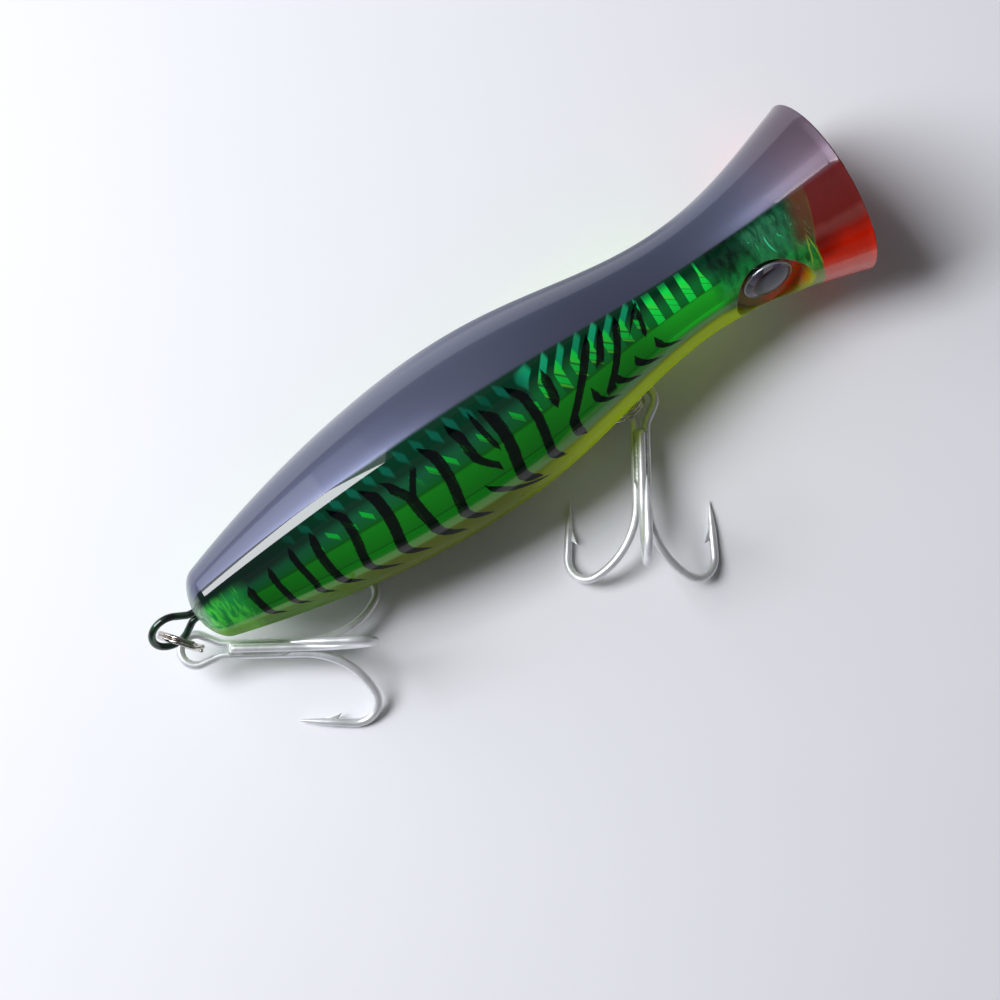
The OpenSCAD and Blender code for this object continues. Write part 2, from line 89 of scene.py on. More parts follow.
class PopperBodySizes(bpy.types.PropertyGroup):
    """Sizes of the moulded body."""

    length: length("Length", "From the tail end to the middle of the mouth rim", 120.0)
    belly: length("Belly diameter", "Largest diameter of the body", 28.8)
    belly_at: length("Belly position", "Largest diameter from the tail end", 50.5)
    neck: length("Neck diameter", "Smallest diameter behind the head", 18.6)
    neck_back: length("Neck position", "Neck behind the mouth rim", 27.0)
    mouth: length("Mouth diameter", "Diameter of the mouth rim", 30.0)
    cup: length("Cup depth", "Depth of the cupped face", 7.0)
    lip: length("Lip width", "Flat width round the cup", 1.4)
    lean: FloatProperty(
        name="Mouth lean", description="Lean of the mouth plane, upper lip forward",
        default=math.radians(4.0), subtype="ANGLE",
    )
    roll: FloatProperty(
        name="Roll", description="Roll of the back away from upright as the lure lies",
        default=math.radians(35.0), subtype="ANGLE",
    )


class PopperEyeSizes(bpy.types.PropertyGroup):
    """Sizes of the printed eyes and their pockets."""

    diameter: length("Eye diameter", "Diameter of the printed eye", 8.5)
    back: length("Eye position", "Eye centre behind the mouth rim", 16.7)
    dome: length("Dome height", "Height of the clear dome", 1.2)
    edge: length("Seat edge", "Width of the pocket's floor round the eye", 2.25)
    lift: length("Eye offset", "Eye centre from the pocket's, towards the back", 1.05)
    depth: length("Seat depth", "Pocket's floor under the neck's surface", 1.3)
    tilt: FloatProperty(
        name="Seat tilt", description="How far each eye faces down",
        default=math.radians(15.0), subtype="ANGLE",
    )
    face: FloatProperty(
        name="Seat slope", description="How far each eye faces the tail, along the flare",
        default=math.radians(7.0), subtype="ANGLE",
    )


class PopperHardwareSizes(bpy.types.PropertyGroup):
    """Sizes of the wires, rings and hooks."""

    eye_wire: length("Eye wire", "Wire of the fixed eyes", 1.2)
    ring_wire: length("Ring wire", "Wire of the split rings", 0.7)
    ring: length("Ring diameter", "Outer diameter of the split rings", 7.8)
    hook_wire: length("Hook wire", "Wire of the treble hooks", 1.4)
    hook_reach: length("Hook reach", "From the shank axis to the point section", 13.75)
    hook_shank: length("Hook shank", "From the neck to the widest part of the bend", 20.15)


class PopperColours(bpy.types.PropertyGroup):
    """Colours of the paint and the clear lacquers."""

    back: colour("Back", "Airbrushed satin back", (0.100, 0.110, 0.170))
    emerald: colour("Emerald", "Upper flank over the film", (0.003, 0.030, 0.014))
    green: colour("Green", "Clear green flank", (0.006, 0.215, 0.009))
    olive: colour("Belly", "Clear yellow-green belly", (0.260, 0.360, 0.004))
    red: colour("Mouth", "Clear red mouth", (0.620, 0.014, 0.001))
    ink: colour("Stripes", "Mackerel stripes", (0.001, 0.001, 0.002))
    film: colour("Film glints", "Reflective film in the flank", (0.006, 0.860, 0.075))


class PopperStageSettings(bpy.types.PropertyGroup):
    """Floor, lamps and lens."""

    floor: colour("Floor", "Plain floor", (0.80, 0.80, 0.825))
    world: FloatProperty(name="Surroundings", description="Strength of the plain surroundings",
                         default=0.10, min=0.0)
    soft: FloatProperty(name="Softbox", description="Power of the large softbox on the left",
                        default=3.4, min=0.0, unit="POWER")
    strip: FloatProperty(name="Strip lamp", description="Power of the strip softbox",
                         default=3.8, min=0.0, unit="POWER")
    lens: FloatProperty(name="Lens", description="Focal length of the camera",
                        default=86.24, unit="CAMERA")


# ---------------------------------------------------------------- shader expressions


class Value:
    """A socket that takes part in arithmetic; each operator adds one Math node."""

    def __init__(self, finish, socket):
        self.finish = finish
        self.socket = socket

    def math(self, operation, *others):
        """One Math node."""
        return self.finish.node("ShaderNodeMath", {"operation": operation}, self, *others)

    def __add__(self, other):
        return self.math("ADD", other)

    def __mul__(self, other):
        return self.math("MULTIPLY", other)

    def __sub__(self, other):
        return self.math("SUBTRACT", other)

    def __truediv__(self, other):
        return self.math("DIVIDE", other)

    def __pow__(self, other):
        return self.math("POWER", other)

    __radd__ = __add__
    __rmul__ = __mul__

    def __rsub__(self, other):
        return (self * -1.0) + other

    def __rtruediv__(self, other):
        return (self ** -1.0) * other

    def __abs__(self):
        return self.math("ABSOLUTE")

    def sin(self):
        return self.math("SINE")

    def floor(self):
        return self.math("FLOOR")

    def fract(self):
        return self.math("FRACT")

    def least(self, other):
        return self.math("MINIMUM", other)

    def most(self, other):
        return self.math("MAXIMUM", other)

    def rise(self, low, high):
        """0 below low, 1 above high and smooth between, or the other way round."""
        return self.finish.node(
            "ShaderNodeMapRange", {"interpolation_type": "SMOOTHSTEP"}, self, low, high, 0.0, 1.0
        )

    def within(self, low, high, edge):
        """1 between low and high, with smooth edges."""
        return self.rise(low - edge, low + edge) * self.rise(high + edge, high - edge)


class Finish:
    """A material, or the world, whose nodes come from one method."""

    def __init__(self, name, kind="materials"):
        self.data = getattr(bpy.data, kind).new(name)
        self.data.use_nodes = True
        self.tree = self.data.node_tree
        self.tree.nodes.clear()

    def node(self, kind, settings=None, *values, out=0, **named):
        """Adds a node: its settings first, then the values or links of its sockets."""
        node = self.tree.nodes.new(kind)
        for key, setting in (settings or {}).items():
            if key == "stops":
                while len(node.color_ramp.elements) < len(setting):
                    node.color_ramp.elements.new(1.0)
                for element, (place, tint) in zip(node.color_ramp.elements, setting):
                    element.position = place
                    element.color = (*tint, 1.0)
            else:
                setattr(node, key, setting)
        sockets = list(enumerate(values))
        sockets += [(key.replace("_", " "), value) for key, value in named.items()]
        for key, value in sockets:
            if value is None:
                continue
            if isinstance(value, Value):
                self.tree.links.new(value.socket, node.inputs[key])
            else:
                node.inputs[key].default_value = value
        return Value(self, node.outputs[out])

    def mix(self, amount, first, second):
        """Colour between first and second."""
        inputs = [amount, None, None, None, None, None]
        for tint in (first, second):
            inputs.append(tint if isinstance(tint, Value) else (*tint, 1.0))
        return self.node("ShaderNodeMix", {"data_type": "RGBA"}, *inputs, out=2)

    def lighten(self, tint, amount):
        """A colour times a number."""
        return self.node(
            "ShaderNodeVectorMath", {"operation": "SCALE"}, tint, None, None, amount
        )

    def attribute(self, name):
        """A vector kept on the piece's points."""
        return self.node("ShaderNodeAttribute", {"attribute_name": name}, out=1)

    def parts(self, vector):
        """The three numbers of a vector."""
        first = self.node("ShaderNodeSeparateXYZ", None, vector)
        outputs = first.socket.node.outputs
        return [Value(self, outputs[i]) for i in range(3)]

    def join(self, x, y, z=0.0):
        """A vector of three numbers."""
        return self.node("ShaderNodeCombineXYZ", None, x, y, z)

    def place(self):
        """Object coordinates."""
        return self.node("ShaderNodeTexCoord", out=3)

    def noise(self, vector, scale, detail=3.0, rough=0.55, distortion=0.0):
        """Cloudy noise between 0 and 1."""
        return self.node(
            "ShaderNodeTexNoise", None, Vector=vector, Scale=scale, Detail=detail,
            Roughness=rough, Distortion=distortion,
        )

    def random_colour(self, vector):
        """Three random numbers for each value of the vector."""
        return self.node("ShaderNodeTexWhiteNoise", {"noise_dimensions": "3D"}, vector, out=1)

    def bump(self, height, strength, distance):
        """A normal raised by a height."""
        return self.node(
            "ShaderNodeBump", None, Strength=strength, Distance=distance, Height=height
        )

    def surface(self, **sockets):
        """A Principled shader with these sockets, linked to the output."""
        shader = self.node("ShaderNodeBsdfPrincipled", None, **sockets)
        self.node_output("ShaderNodeOutputMaterial", shader)
        return self.data

    def node_output(self, kind, shader):
        """Links a shader to an output node."""
        output = self.tree.nodes.new(kind)
        self.tree.links.new(shader.socket, output.inputs["Surface"])


# ---------------------------------------------------------------- meshes


def grid_faces(rows, columns):
    """Quads of a grid whose columns close on themselves."""
    r, c = np.meshgrid(np.arange(rows - 1), np.arange(columns), indexing="ij")
    r2, c2 = r + 1, (c + 1) % columns
    corners = [r * columns + c, r * columns + c2, r2 * columns + c2, r2 * columns + c]
    return np.stack([corner.ravel() for corner in corners], axis=1)


def surface_piece(name, grid, poles, fields=None):
    """A closed mesh from a grid of points in metres, whose columns close on themselves.

    poles are the points that close the first and the last row with a fan of triangles, and
    fields are vectors kept on the points. Every face is smooth, and turned outwards by the sign
    of the volume that the faces enclose.
    """
    rows, columns = grid.shape[:2]
    points = [grid.reshape(-1, 3)]
    quads = grid_faces(rows, columns)
    fans = []
    around = np.arange(columns)
    for i, pole in enumerate(poles):
        first = 0 if i == 0 else (rows - 1) * columns
        here, after = first + around, first + (around + 1) % columns
        tip = np.full(columns, rows * columns + i)
        fans.append(np.stack([tip, after, here] if i == 0 else [tip, here, after], axis=1))
        points.append(np.asarray(pole, float).reshape(1, 3))
    points = np.concatenate(points)
    triangles = [quads[:, [0, 1, 2]], quads[:, [0, 2, 3]], *fans]
    a, b, c = (points[np.concatenate(triangles)[:, i]] for i in range(3))
    if (np.cross(a, b) * c).sum() < 0:
        quads = quads[:, ::-1]
        fans = [fan[:, ::-1] for fan in fans]
    faces = quads.tolist() + [face for fan in fans for face in fan.tolist()]
    mesh = bpy.data.meshes.new(name)
    mesh.from_pydata(points.tolist(), [], faces)
    mesh.polygons.foreach_set("use_smooth", np.ones(len(faces), bool))
    for key, field in (fields or {}).items():
        layer = mesh.attributes.new(key, "FLOAT_VECTOR", "POINT")
        layer.data.foreach_set("vector", np.asarray(field, np.float32).ravel())
    mesh.update()
    piece = bpy.data.objects.new(name, mesh)
    bpy.context.scene.collection.objects.link(piece)
    return piece


def smooth_step(value, low, high):
    """0 below low, 1 above high and three squares less two cubes between."""
    t = np.clip((value - low) / (high - low), 0, 1)
    return t * t * (3 - 2 * t)


def unit(vectors):
    """Vectors over their lengths."""
    return vectors / np.linalg.norm(vectors, axis=-1, keepdims=True)


def tube(points, radii, guides, sides):
    """Grid of a round wire: circles across a line, kept from twisting by guide directions."""
    ways = unit(np.gradient(points, axis=0))
    first = unit(guides - (guides * ways).sum(1, keepdims=True) * ways)
    second = np.cross(ways, first)
    turn = np.linspace(0.0, 2 * np.pi, sides, endpoint=False)[None, :, None]
    circle = np.cos(turn) * first[:, None] + np.sin(turn) * second[:, None]
    return points[:, None] + np.asarray(radii)[:, None, None] * circle


def walk(steps, at, way, gap):
    """Points of a plane line walked step by step from at, about a gap apart, with its start:
    (length, 0) goes straight, (radius, angle in degrees) turns left, or right below 0."""
    at = np.array(at, float)
    line = [at[None]]
    for size, turn in steps:
        if turn == 0:
            count = max(2, round(size / gap))
            part = at + size * np.linspace(0, 1, count + 1)[1:, None] * direction(way)
        else:
            side = math.copysign(1.0, turn)
            centre = at + side * size * direction(way + 90)
            count = max(4, round(abs(math.radians(turn)) * size / gap))
            angles = way + turn * np.linspace(0, 1, count + 1)[1:]
            part = centre - side * size * direction(angles + 90)
        line.append(part)
        at, way = part[-1], way + turn
    return np.concatenate(line)


def direction(angle):
    """Unit vector in a plane at an angle in degrees, or one for each angle."""
    a = np.radians(angle)
    return np.stack([np.cos(a), np.sin(a)], axis=-1)


def loop_leg(radius, neck, flare, half):
    """Straight length between a loop and the bends of its neck: what is left of the loop's
    width at its flare, over the sine of the flare."""
    f = math.radians(flare)
    return (radius * math.cos(f) - half - neck * (1 - math.cos(f))) / math.sin(f)


def loop_reach(radius, neck, flare, half):
    """Distance from a loop's neck to its centre: both bends and the leg along the axis."""
    f = math.radians(flare)
    leg = loop_leg(radius, neck, flare, half)
    return neck * math.sin(f) + leg * math.cos(f) + radius * math.sin(f)


def half_loop(radius, neck, flare, half, gap):
    """Half of a teardrop loop, from its far end to its neck at x = 0."""
    far = (-loop_reach(radius, neck, flare, half) - radius, 0.0)
    steps = [(radius, -90 - flare), (loop_leg(radius, neck, flare, half), 0), (neck, flare)]
    return walk(steps, far, 90.0, gap)


def turn_about(axis, angle):
    """Rotation about an axis by an angle in radians."""
    return np.array(Matrix.Rotation(angle, 3, axis))


# ---------------------------------------------------------------- the lure's own frame


class Lay:
    """Takes millimetres of the lure's own axes to metres of the shared frame.

    The tail end and the body's axis come from the solids: the front rattle ball is on the axis.
    """

    def __init__(self, roll):
        low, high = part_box("rattle_ball_front")
        centre = (low + high) / 2
        self.origin = np.array([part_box("shell_right")[0].x, centre.y, 0.0]) / MM
        self.height = centre.z / MM
        self.roll = turn_about("X", -roll)

    def upright(self, points):
        """From the upright body (+X to the mouth, +Z the back, +Y the left flank)."""
        return self.lying(np.asarray(points) @ self.roll.T + [0.0, 0.0, self.height])

    def lying(self, points):
        """From the lying lure: X from the tail end, Y off the axis, Z above the floor."""
        return (np.asarray(points) + self.origin) * MM


class BodyForm:
    """Radius of the body: a rounded tail, a full belly, a narrow neck and a flared mouth.

    From the belly the tail falls away as a power of the distance, and ends in a quarter of an
    ellipse. The waist is half a cosine wave. The flare is a power of the distance from the neck.
    """

    def __init__(self, sizes):
        self.length = sizes.length / MM
        self.belly_r = sizes.belly / MM / 2
        self.belly_at = sizes.belly_at / MM
        self.neck_r = sizes.neck / MM / 2
        self.neck_back = sizes.neck_back / MM
        self.neck_at = self.length - self.neck_back
        self.mouth_r = sizes.mouth / MM / 2
        self.cup = sizes.cup / MM
        self.lip = sizes.lip / MM
        self.lean = sizes.lean
        self.tail_r = 5.1
        self.tail_round = 3.2

    def radius(self, x):
        """Tail, waist or flare, by the place along the axis."""
        x = np.asarray(x, float)
        u = np.clip(1 - x / self.belly_at, 0, 1)
        tail = self.belly_r - (self.belly_r - self.tail_r) * u ** 1.8
        tail = tail * np.sqrt(1 - np.clip(1 - x / self.tail_round, 0, 1) ** 2)
        u = np.clip((x - self.belly_at) / (self.neck_at - self.belly_at), 0, 1)
        waist = self.neck_r + (self.belly_r - self.neck_r) * (1 + np.cos(np.pi * u ** 1.13)) / 2
        u = np.clip((x - self.neck_at) / self.neck_back, 0, None)
        flare = self.neck_r + (self.mouth_r - self.neck_r) * u ** 1.85 * (1 + 0.12 * (1 - u ** 4))
        return np.where(x < self.belly_at, tail, np.where(x < self.neck_at, waist, flare))


def shell_grid(form, eyes):
    """The whole outside of the body from the tail to the bottom of the cup.

    Each column is one angle round the axis. Along it x runs from the tail to the leaning rim,
    then over the lip's round edge and down the spherical cup. Each eye has a round pocket: where
    the surface lies inside a circle round the eye's axis, the radius drops to the plane of the
    pocket's floor, which slopes along the flare.
    """
    eye_x = form.length - eyes.back / MM
    facing = math.pi / 2 + eyes.tilt
    floor_r = form.neck_r - eyes.depth / MM
    pocket_r = (eyes.diameter / 2 + eyes.edge) / MM
    fine = np.linspace(60, 150, 164)[:-1]
    back = np.linspace(-60, 60, 60)[:-1]
    belly = np.linspace(150, 210, 30)[:-1]
    angles = np.radians(np.concatenate([back, fine, belly, fine + 150]))
    cos, sin = np.cos(angles), np.sin(angles)
    # leaning rim: radius and station of each column, found by repeating the two formulas
    rim_r = np.full_like(angles, form.mouth_r)
    for _ in range(6):
        rim_x = form.length + rim_r * cos * math.tan(form.lean)
        rim_r = form.radius(rim_x)
    round_r, margin = 0.3, 0.6
    tail = form.tail_round * (1 - np.cos(np.radians(np.linspace(4, 90, 12))))
    start, stop = eye_x - pocket_r - margin, eye_x + pocket_r + margin
    fixed = np.concatenate([
        tail, np.linspace(form.tail_round, start, 70)[1:], np.linspace(start, stop, 90)[1:]
    ])
    xs = np.repeat(fixed[:, None], len(angles), axis=1)
    share = np.linspace(0, 1, 9)[1:, None]
    xs = np.concatenate([xs, stop + share * (rim_x - round_r - stop)])
    rs = form.radius(xs)
    zones = np.zeros((*xs.shape, 3))
    away = np.abs(np.arctan2(sin, cos)) - facing
    near = np.abs(away) < 1.2
    slope = math.tan(eyes.face)
    plane = (floor_r + (xs - eye_x) * slope) / np.cos(np.where(near, away, 0.0))
    outside = np.hypot(xs - eye_x, rs * np.sin(away)) - pocket_r
    cut = near & (plane < rs)
    depth = np.where(cut, rs - plane, 0.0)
    keep = smooth_step(outside, -0.25, 0.05)
    zones[..., 1] = np.where(cut, (1 - keep) * smooth_step(depth, 0.0, 0.06), 0.0)
    zones[..., 2] = np.clip(1 - np.abs(outside) / 0.35, 0, 1) * smooth_step(depth, 0.0, 0.3)
    rs = np.where(cut, plane + keep * depth, rs)
    skin = np.stack([xs, rs * sin, rs * cos], axis=-1)
    # round edge of the lip, then the lip and the cup in the leaning frame
    a = np.radians(np.linspace(15, 90, 6))[:, None]
    edge_x = rim_x - round_r * (1 - np.sin(a))
    edge_r = rim_r - round_r * (1 - np.cos(a))
    brim = np.stack([edge_x, edge_r * sin, edge_r * cos], axis=-1)
    dish_r = ((form.mouth_r - form.lip) ** 2 + form.cup ** 2) / (2 * form.cup)
    reach = (form.mouth_r - form.lip) * np.sin(np.radians(np.linspace(90, 2, 34)))[:, None]
    sunk = -(np.sqrt(dish_r ** 2 - reach ** 2) - (dish_r - form.cup))
    c, s = math.cos(form.lean), math.sin(form.lean)
    cup = np.stack([
        form.length + sunk * c + reach * cos * s,
        reach * sin,
        -sunk * s + reach * cos * c,
    ], axis=-1)
    grid = np.concatenate([skin, brim, cup])
    zones = np.concatenate([zones, np.zeros((*brim.shape[:2], 3)), np.zeros((*cup.shape[:2], 3))])
    zones[len(skin) + 3:, :, 0] = 1.0
    wrapped = np.degrees(np.arctan2(sin, cos))
    paint = np.stack([
        grid[..., 0], np.repeat(np.abs(wrapped)[None], len(grid), 0),
        np.repeat(np.sign(np.round(wrapped, 6))[None], len(grid), 0),
    ], axis=-1)
    deepest = [form.length - form.cup * c, 0.0, form.cup * s]
    return grid, [[0.0, 0.0, 0.0], deepest], paint, zones


class TrebleForm:
    """One treble in its own axes: X along the shank from the neck of its eye, towards the bend.

    The eye lies in the XY plane. Each hook lies in a plane through X, at its own angle round it.
    """

    ANGLES = (-30, 210, 90)

    def __init__(self, sizes):
        self.wire = sizes.hook_wire / MM
        self.shank = sizes.hook_shank / MM
        self.off = self.wire * 0.75
        self.bend, self.sweep = 3.75, 12.5
        self.straight, self.point, self.lean = 3.2, 5.8, 4.3
        self.loop = (*HOOK_LOOP, self.off * math.cos(math.radians(30)))
        self.neck = loop_reach(*self.loop)
        # the sweep turns until the round bend, tangent to it, reaches the point's own distance
        self.top = sizes.hook_reach / MM - self.bend
        span = self.sweep - self.bend
        self.turn = math.degrees(math.acos((self.sweep + self.off - self.top) / span))
        self.begin = self.shank - span * math.sin(math.radians(self.turn))
        self.middle = [self.neck, 0, self.off / 2]

    def hook_line(self, start):
        """Shank, wide sweep, round bend and point in the hook's plane, with the radii, which
        fall along the point as one minus a line and a square."""
        line = walk([(self.begin - start, 0), (self.sweep, self.turn),
                     (self.bend, 180 + self.lean - self.turn), (self.straight, 0),
                     (self.point, 0)], (start, self.off), 0.0, 0.3)
        run = np.concatenate([[0], np.cumsum(np.linalg.norm(np.diff(line, axis=0), axis=1))])
        t = np.clip((run - run[-1] + self.point) / self.point, 0, 1)
        return line, self.wire / 2 * (1 - 0.36 * t - 0.58 * t * t)

    @staticmethod
    def turned(line, angle):
        """A plane line turned about X into the plane at an angle in degrees."""
        c, s = direction(angle)
        return np.stack([line[:, 0], line[:, 1] * c, line[:, 1] * s], axis=1)

    @staticmethod
    def across(angle):
        """Unit vector square to the plane at an angle."""
        c, s = direction(angle)
        return np.array([0.0, -s, c])

    def two_point_wire(self):
        """A round wire out along one hook, round the eye and back along the other."""
        line, radii = self.hook_line(0.0)
        eye = half_loop(*self.loop, 0.2)
        eye = np.concatenate([(eye * [1, -1])[1:-1][::-1], eye[:-1]])
        eye = np.stack([eye[:, 0], eye[:, 1], 0 * eye[:, 0] - self.off / 2], axis=1)
        near, far = self.ANGLES[:2]
        path = np.concatenate([self.turned(line, far)[::-1], eye, self.turned(line, near)])
        thick = np.concatenate([radii[::-1], np.full(len(eye), self.wire / 2), radii])
        # guides turn by 30 degrees from the first hook's plane to the eye's and to the second's
        settle = smooth_step(line[:, 0], 0.0, 4.0)[:, None]
        level = np.array([[0.0, 0.0, 1.0]])
        first = level + settle * (-self.across(far) - level)
        last = level + settle * (self.across(near) - level)
        guides = np.concatenate([first[::-1], np.repeat(level, len(eye), 0), last])
        return tube(path, thick, guides, 20), path[[0, -1]]

    def third_point_wire(self):
        """A round wire along the third hook, rounded at the shank's end."""
        angle = self.ANGLES[2]
        line, radii = self.hook_line(0.8)
        path = self.turned(line, angle)
        radii = radii * np.sqrt(1 - np.clip(1 - np.arange(len(line)) / 2.0, 0, 0.9) ** 2)
        guides = np.repeat(self.across(angle)[None], len(line), 0)
        return tube(path, radii, guides, 20), path[[0, -1]]

    def braze(self):
        """A rod along the shanks that swells three times round, into the grooves between the
        wires, falls away as a square root at both ends and is ragged at the far one."""
        along = np.linspace(0.3, 11.8, 60)[:, None]
        turn = np.linspace(0, 2 * np.pi, 48, endpoint=False)[None]
        groove = np.cos(3 * (turn + math.pi / 2))
        ragged = 11.0 + 0.5 * np.sin(3 * turn + 1.0) + 0.35 * np.sin(7 * turn)
        size = self.off * (1.12 + 0.13 * groove)
        size = size * np.sqrt(np.clip((ragged - along) / 2.2, 0.02, 1))
        size = size * np.sqrt(np.clip((along - 0.1) / 0.8, 0.05, 1))
        size = size * (1 + 0.02 * np.sin(9 * along / self.off + 2 * turn))
        rod = np.stack([along + 0 * turn, size * np.cos(turn), size * np.sin(turn)], axis=-1)
        return rod, [[0.2, 0, 0], [12.0, 0, 0]]

    def barb(self, angle):
        """A thin blade raised from the inside of the point, towards the bend.

        Its sections are ovals whose height and width fall along the point, and whose tops lean
        back along the shank.
        """
        lean = math.radians(self.lean)
        s = np.linspace(0, 1, 14)[:, None]
        a = np.linspace(0, 2 * np.pi, 16, endpoint=False)[None]
        up = np.cos(a) * 0.5 + 0.5
        run = self.straight + 0.5 * self.point * s
        high = 0.28 * self.wire + 1.5 * (1 - s) ** 1.1 * up - 0.25
        thin = 0.26 * (1 - 0.7 * s) * np.sin(a) * (1.25 - np.cos(a) * 0.75) / 2
        x = self.shank - run * math.cos(lean) + 1.1 * up * (1 - s)
        inner = self.top + self.bend - run * math.sin(lean) - high
        c, sn = direction(angle)
        n = self.across(angle)
        grid = np.stack([x, inner * c + thin * n[1], inner * sn + thin * n[2]], axis=-1)
        return grid, grid[[0, -1]].mean(axis=1)


# ---------------------------------------------------------------- finishes


def clear_flank(f, colours, x, angle, drift):
    """Clear colours down the side: emerald, green between two dark lines, then the belly, with
    painted light and shade and a painted reflection low down.
    """
    milky = (0.006, 0.095, 0.036)
    dim = [c * 0.45 for c in colours.green]
    bright = [c * 1.25 for c in colours.green]
    base = f.node("ShaderNodeValToRGB", {"stops": [
        (0.240, colours.emerald), (0.275, milky), (0.325, (0.003, 0.110, 0.018)), (0.336, dim),
        (0.345, colours.green), (0.438, colours.green), (0.442, dim), (0.447, bright),
        (0.496, bright), (0.522, colours.olive),
    ]}, angle / BELLY + drift * 0.004)
    # deeper towards the tail; lighter low on the neck's flank and along the front of the belly,
    # painted light against the shade there; darker on the belly behind the waist, partly painted
    # shade
    depth = 0.62 + x.rise(8.0, 36.0) * 0.38
    depth = depth + x.rise(79.0, 88.0) * angle.within(62.0, 92.0, 1.5) * 0.95
    depth = depth + x.rise(81.0, 86.0) * angle.within(78.5, 90.0, 1.5) * 0.9
    depth = depth - angle.rise(92.0, 96.0) * x.rise(70.0, 46.0) * x.rise(16.0, 30.0) * 0.40
    depth = depth + x.rise(60.0, 66.0) * angle.within(60.0, 82.0, 2.0) * 0.2
    depth = depth + x.rise(48.0, 74.0) * x.rise(106.0, 98.0) * angle.rise(93.0, 101.0) * 1.5
    base = f.lighten(base, depth)
    # a pale band above the belly, a painted reflection, higher on the body ahead of the waist
    start = 87.0 - x.rise(59.0, 65.0) * 4.5 + x.rise(82.0, 85.0) * 2.5
    pale = (angle - start).rise(-1.2, 1.2) * angle.rise(97.0, 92.0) * x.rise(101.0, 97.0)
    reflected_band_green = f.mix(x.rise(60.0, 66.0), (0.100, 0.385, 0.030), (0.085, 0.345, 0.055))
    base = f.mix(pale * 0.8, base, reflected_band_green)
    # near the tail: dark above, greener below
    base = f.mix(x.rise(26.0, 10.0) * angle.rise(54.0, 40.0) * 0.85, base, (0.006, 0.014, 0.011))
    return f.mix(x.rise(32.0, 14.0) * angle.rise(90.0, 96.0) * 0.8, base, (0.110, 0.290, 0.045))


def reflective_film(f, colours, x, angle, side, base):
    """Embossed bars across the flank, broken up behind the waist and whole near the neck.

    Each bar draws its own slant, glints and tints. Returns the colour with the film in it, the
    glints alone and the height of the embossing.
    """
    pitch = 3.02
    ahead, nearly = x.rise(82.0, 84.0), x.rise(59.0, 64.0)
    broken = 1.0 - ahead
    leaning = nearly * broken * (44.0 - angle).most(0.0) * 0.2
    bar = (x - leaning - 94.0) / pitch + 40.5
    place = bar.fract() - 0.5
    luck, other, third = f.parts(f.random_colour(f.join(bar.floor(), 4.2, side)))
    taper = (angle - x.rise(92.0, 93.0) * 8.0).rise(50.0, 32.0) * x.rise(89.0, 93.5)
    bars = (abs(place) + ahead * (0.025 + taper * 0.16)).rise(0.265, 0.235)
    slant = angle - place * 13.0 - luck * 2.5
    # glints painted into the colour: teal patches high up, blobs at the waist, spots behind it and
    # whole bars ahead of it
    teal = abs(place).rise(0.30, 0.16) * slant.within(29.0, 36.5 + nearly * 5.0, 1.8)
    teal = teal * (other * 0.9 + 0.1 + nearly * 0.5) * broken
    blob = bars * slant.within(38.5, 45.0, 0.9) * nearly * broken * third.rise(0.1, 0.5)
    spot = bars * slant.within(48.6 - nearly * 2.5, 53.5 + nearly * 2.0, 0.5) * broken
    spot = spot * x.rise(19.0, 25.0) * luck.rise(0.05, 0.35)
    whole = bars * ahead * angle.within(31.0, 61.0, 0.8) * x.rise(95.6, 95.2)
    whole = whole * (angle.rise(31.0, 41.0) * 0.65 + 0.35)
    # tints of a glint: golden in places, teal above, with dark creases
    golden = slant.within(42.0, 44.0 + third * 2.0, 1.2) * (0.7 - nearly * 0.5)
    golden = golden.most(slant.rise(52.0, 55.0) * broken * 0.6)
    shade = f.mix(golden, colours.film, (0.20, 0.60, 0.006))
    shade = f.mix(angle.rise(41.0, 30.0) * 0.85, shade, (0.010, 0.30, 0.10))
    shade = f.lighten(shade, 0.55 + nearly * 0.28 + ahead * (0.2 + other * 0.2))
    crease = abs(slant - 46.5).rise(0.8, 0.2).most(abs(slant - 51.5 - third * 2.0).rise(0.7, 0.2))
    shade = f.mix(crease * 0.65, shade, (0.02, 0.12, 0.02))
    # dark between the bars from the waist on
    gaps = (1.0 - bars) * nearly * angle.within(28.0, 60.0, 1.2) * x.rise(96.0, 95.0)
    between = f.mix(angle.rise(36.0, 54.0), (0.003, 0.030, 0.012), (0.002, 0.175, 0.024))
    base = f.mix(gaps * 0.8, base, between)
    vivid = f.mix(nearly, (0.005, 0.130, 0.080), (0.008, 0.300, 0.130))
    base = f.mix(teal.least(1.0) * x.rise(16.0, 24.0) * (0.7 + nearly * 0.3), base, vivid)
    glint = blob.most(spot * (0.75 + other * 0.25)).most(whole)
    height = (luck * bars * nearly + third * 0.2) * angle.within(28.0, 58.0, 3.0)
    return f.mix(glint, base, shade), glint, height


def tail_end(f, x, angle, side, base):
    """Emerald with bright green streaks over the rounded tail."""
    rough = f.noise(f.join(x * 0.7, angle * 0.022, side), 1.4, 4.0, 0.6, 0.6)
    tail = x.rise(10.0, 6.5) * angle.rise(34.0, 52.0)
    base = f.mix(tail * 0.85, base, (0.010, 0.220, 0.040))
    base = f.mix(tail * rough.rise(0.40, 0.66) * 0.8, base, (0.080, 0.640, 0.050))
    return f.mix(tail * angle.rise(84.0, 98.0) * 0.7, base, (0.24, 0.56, 0.05))


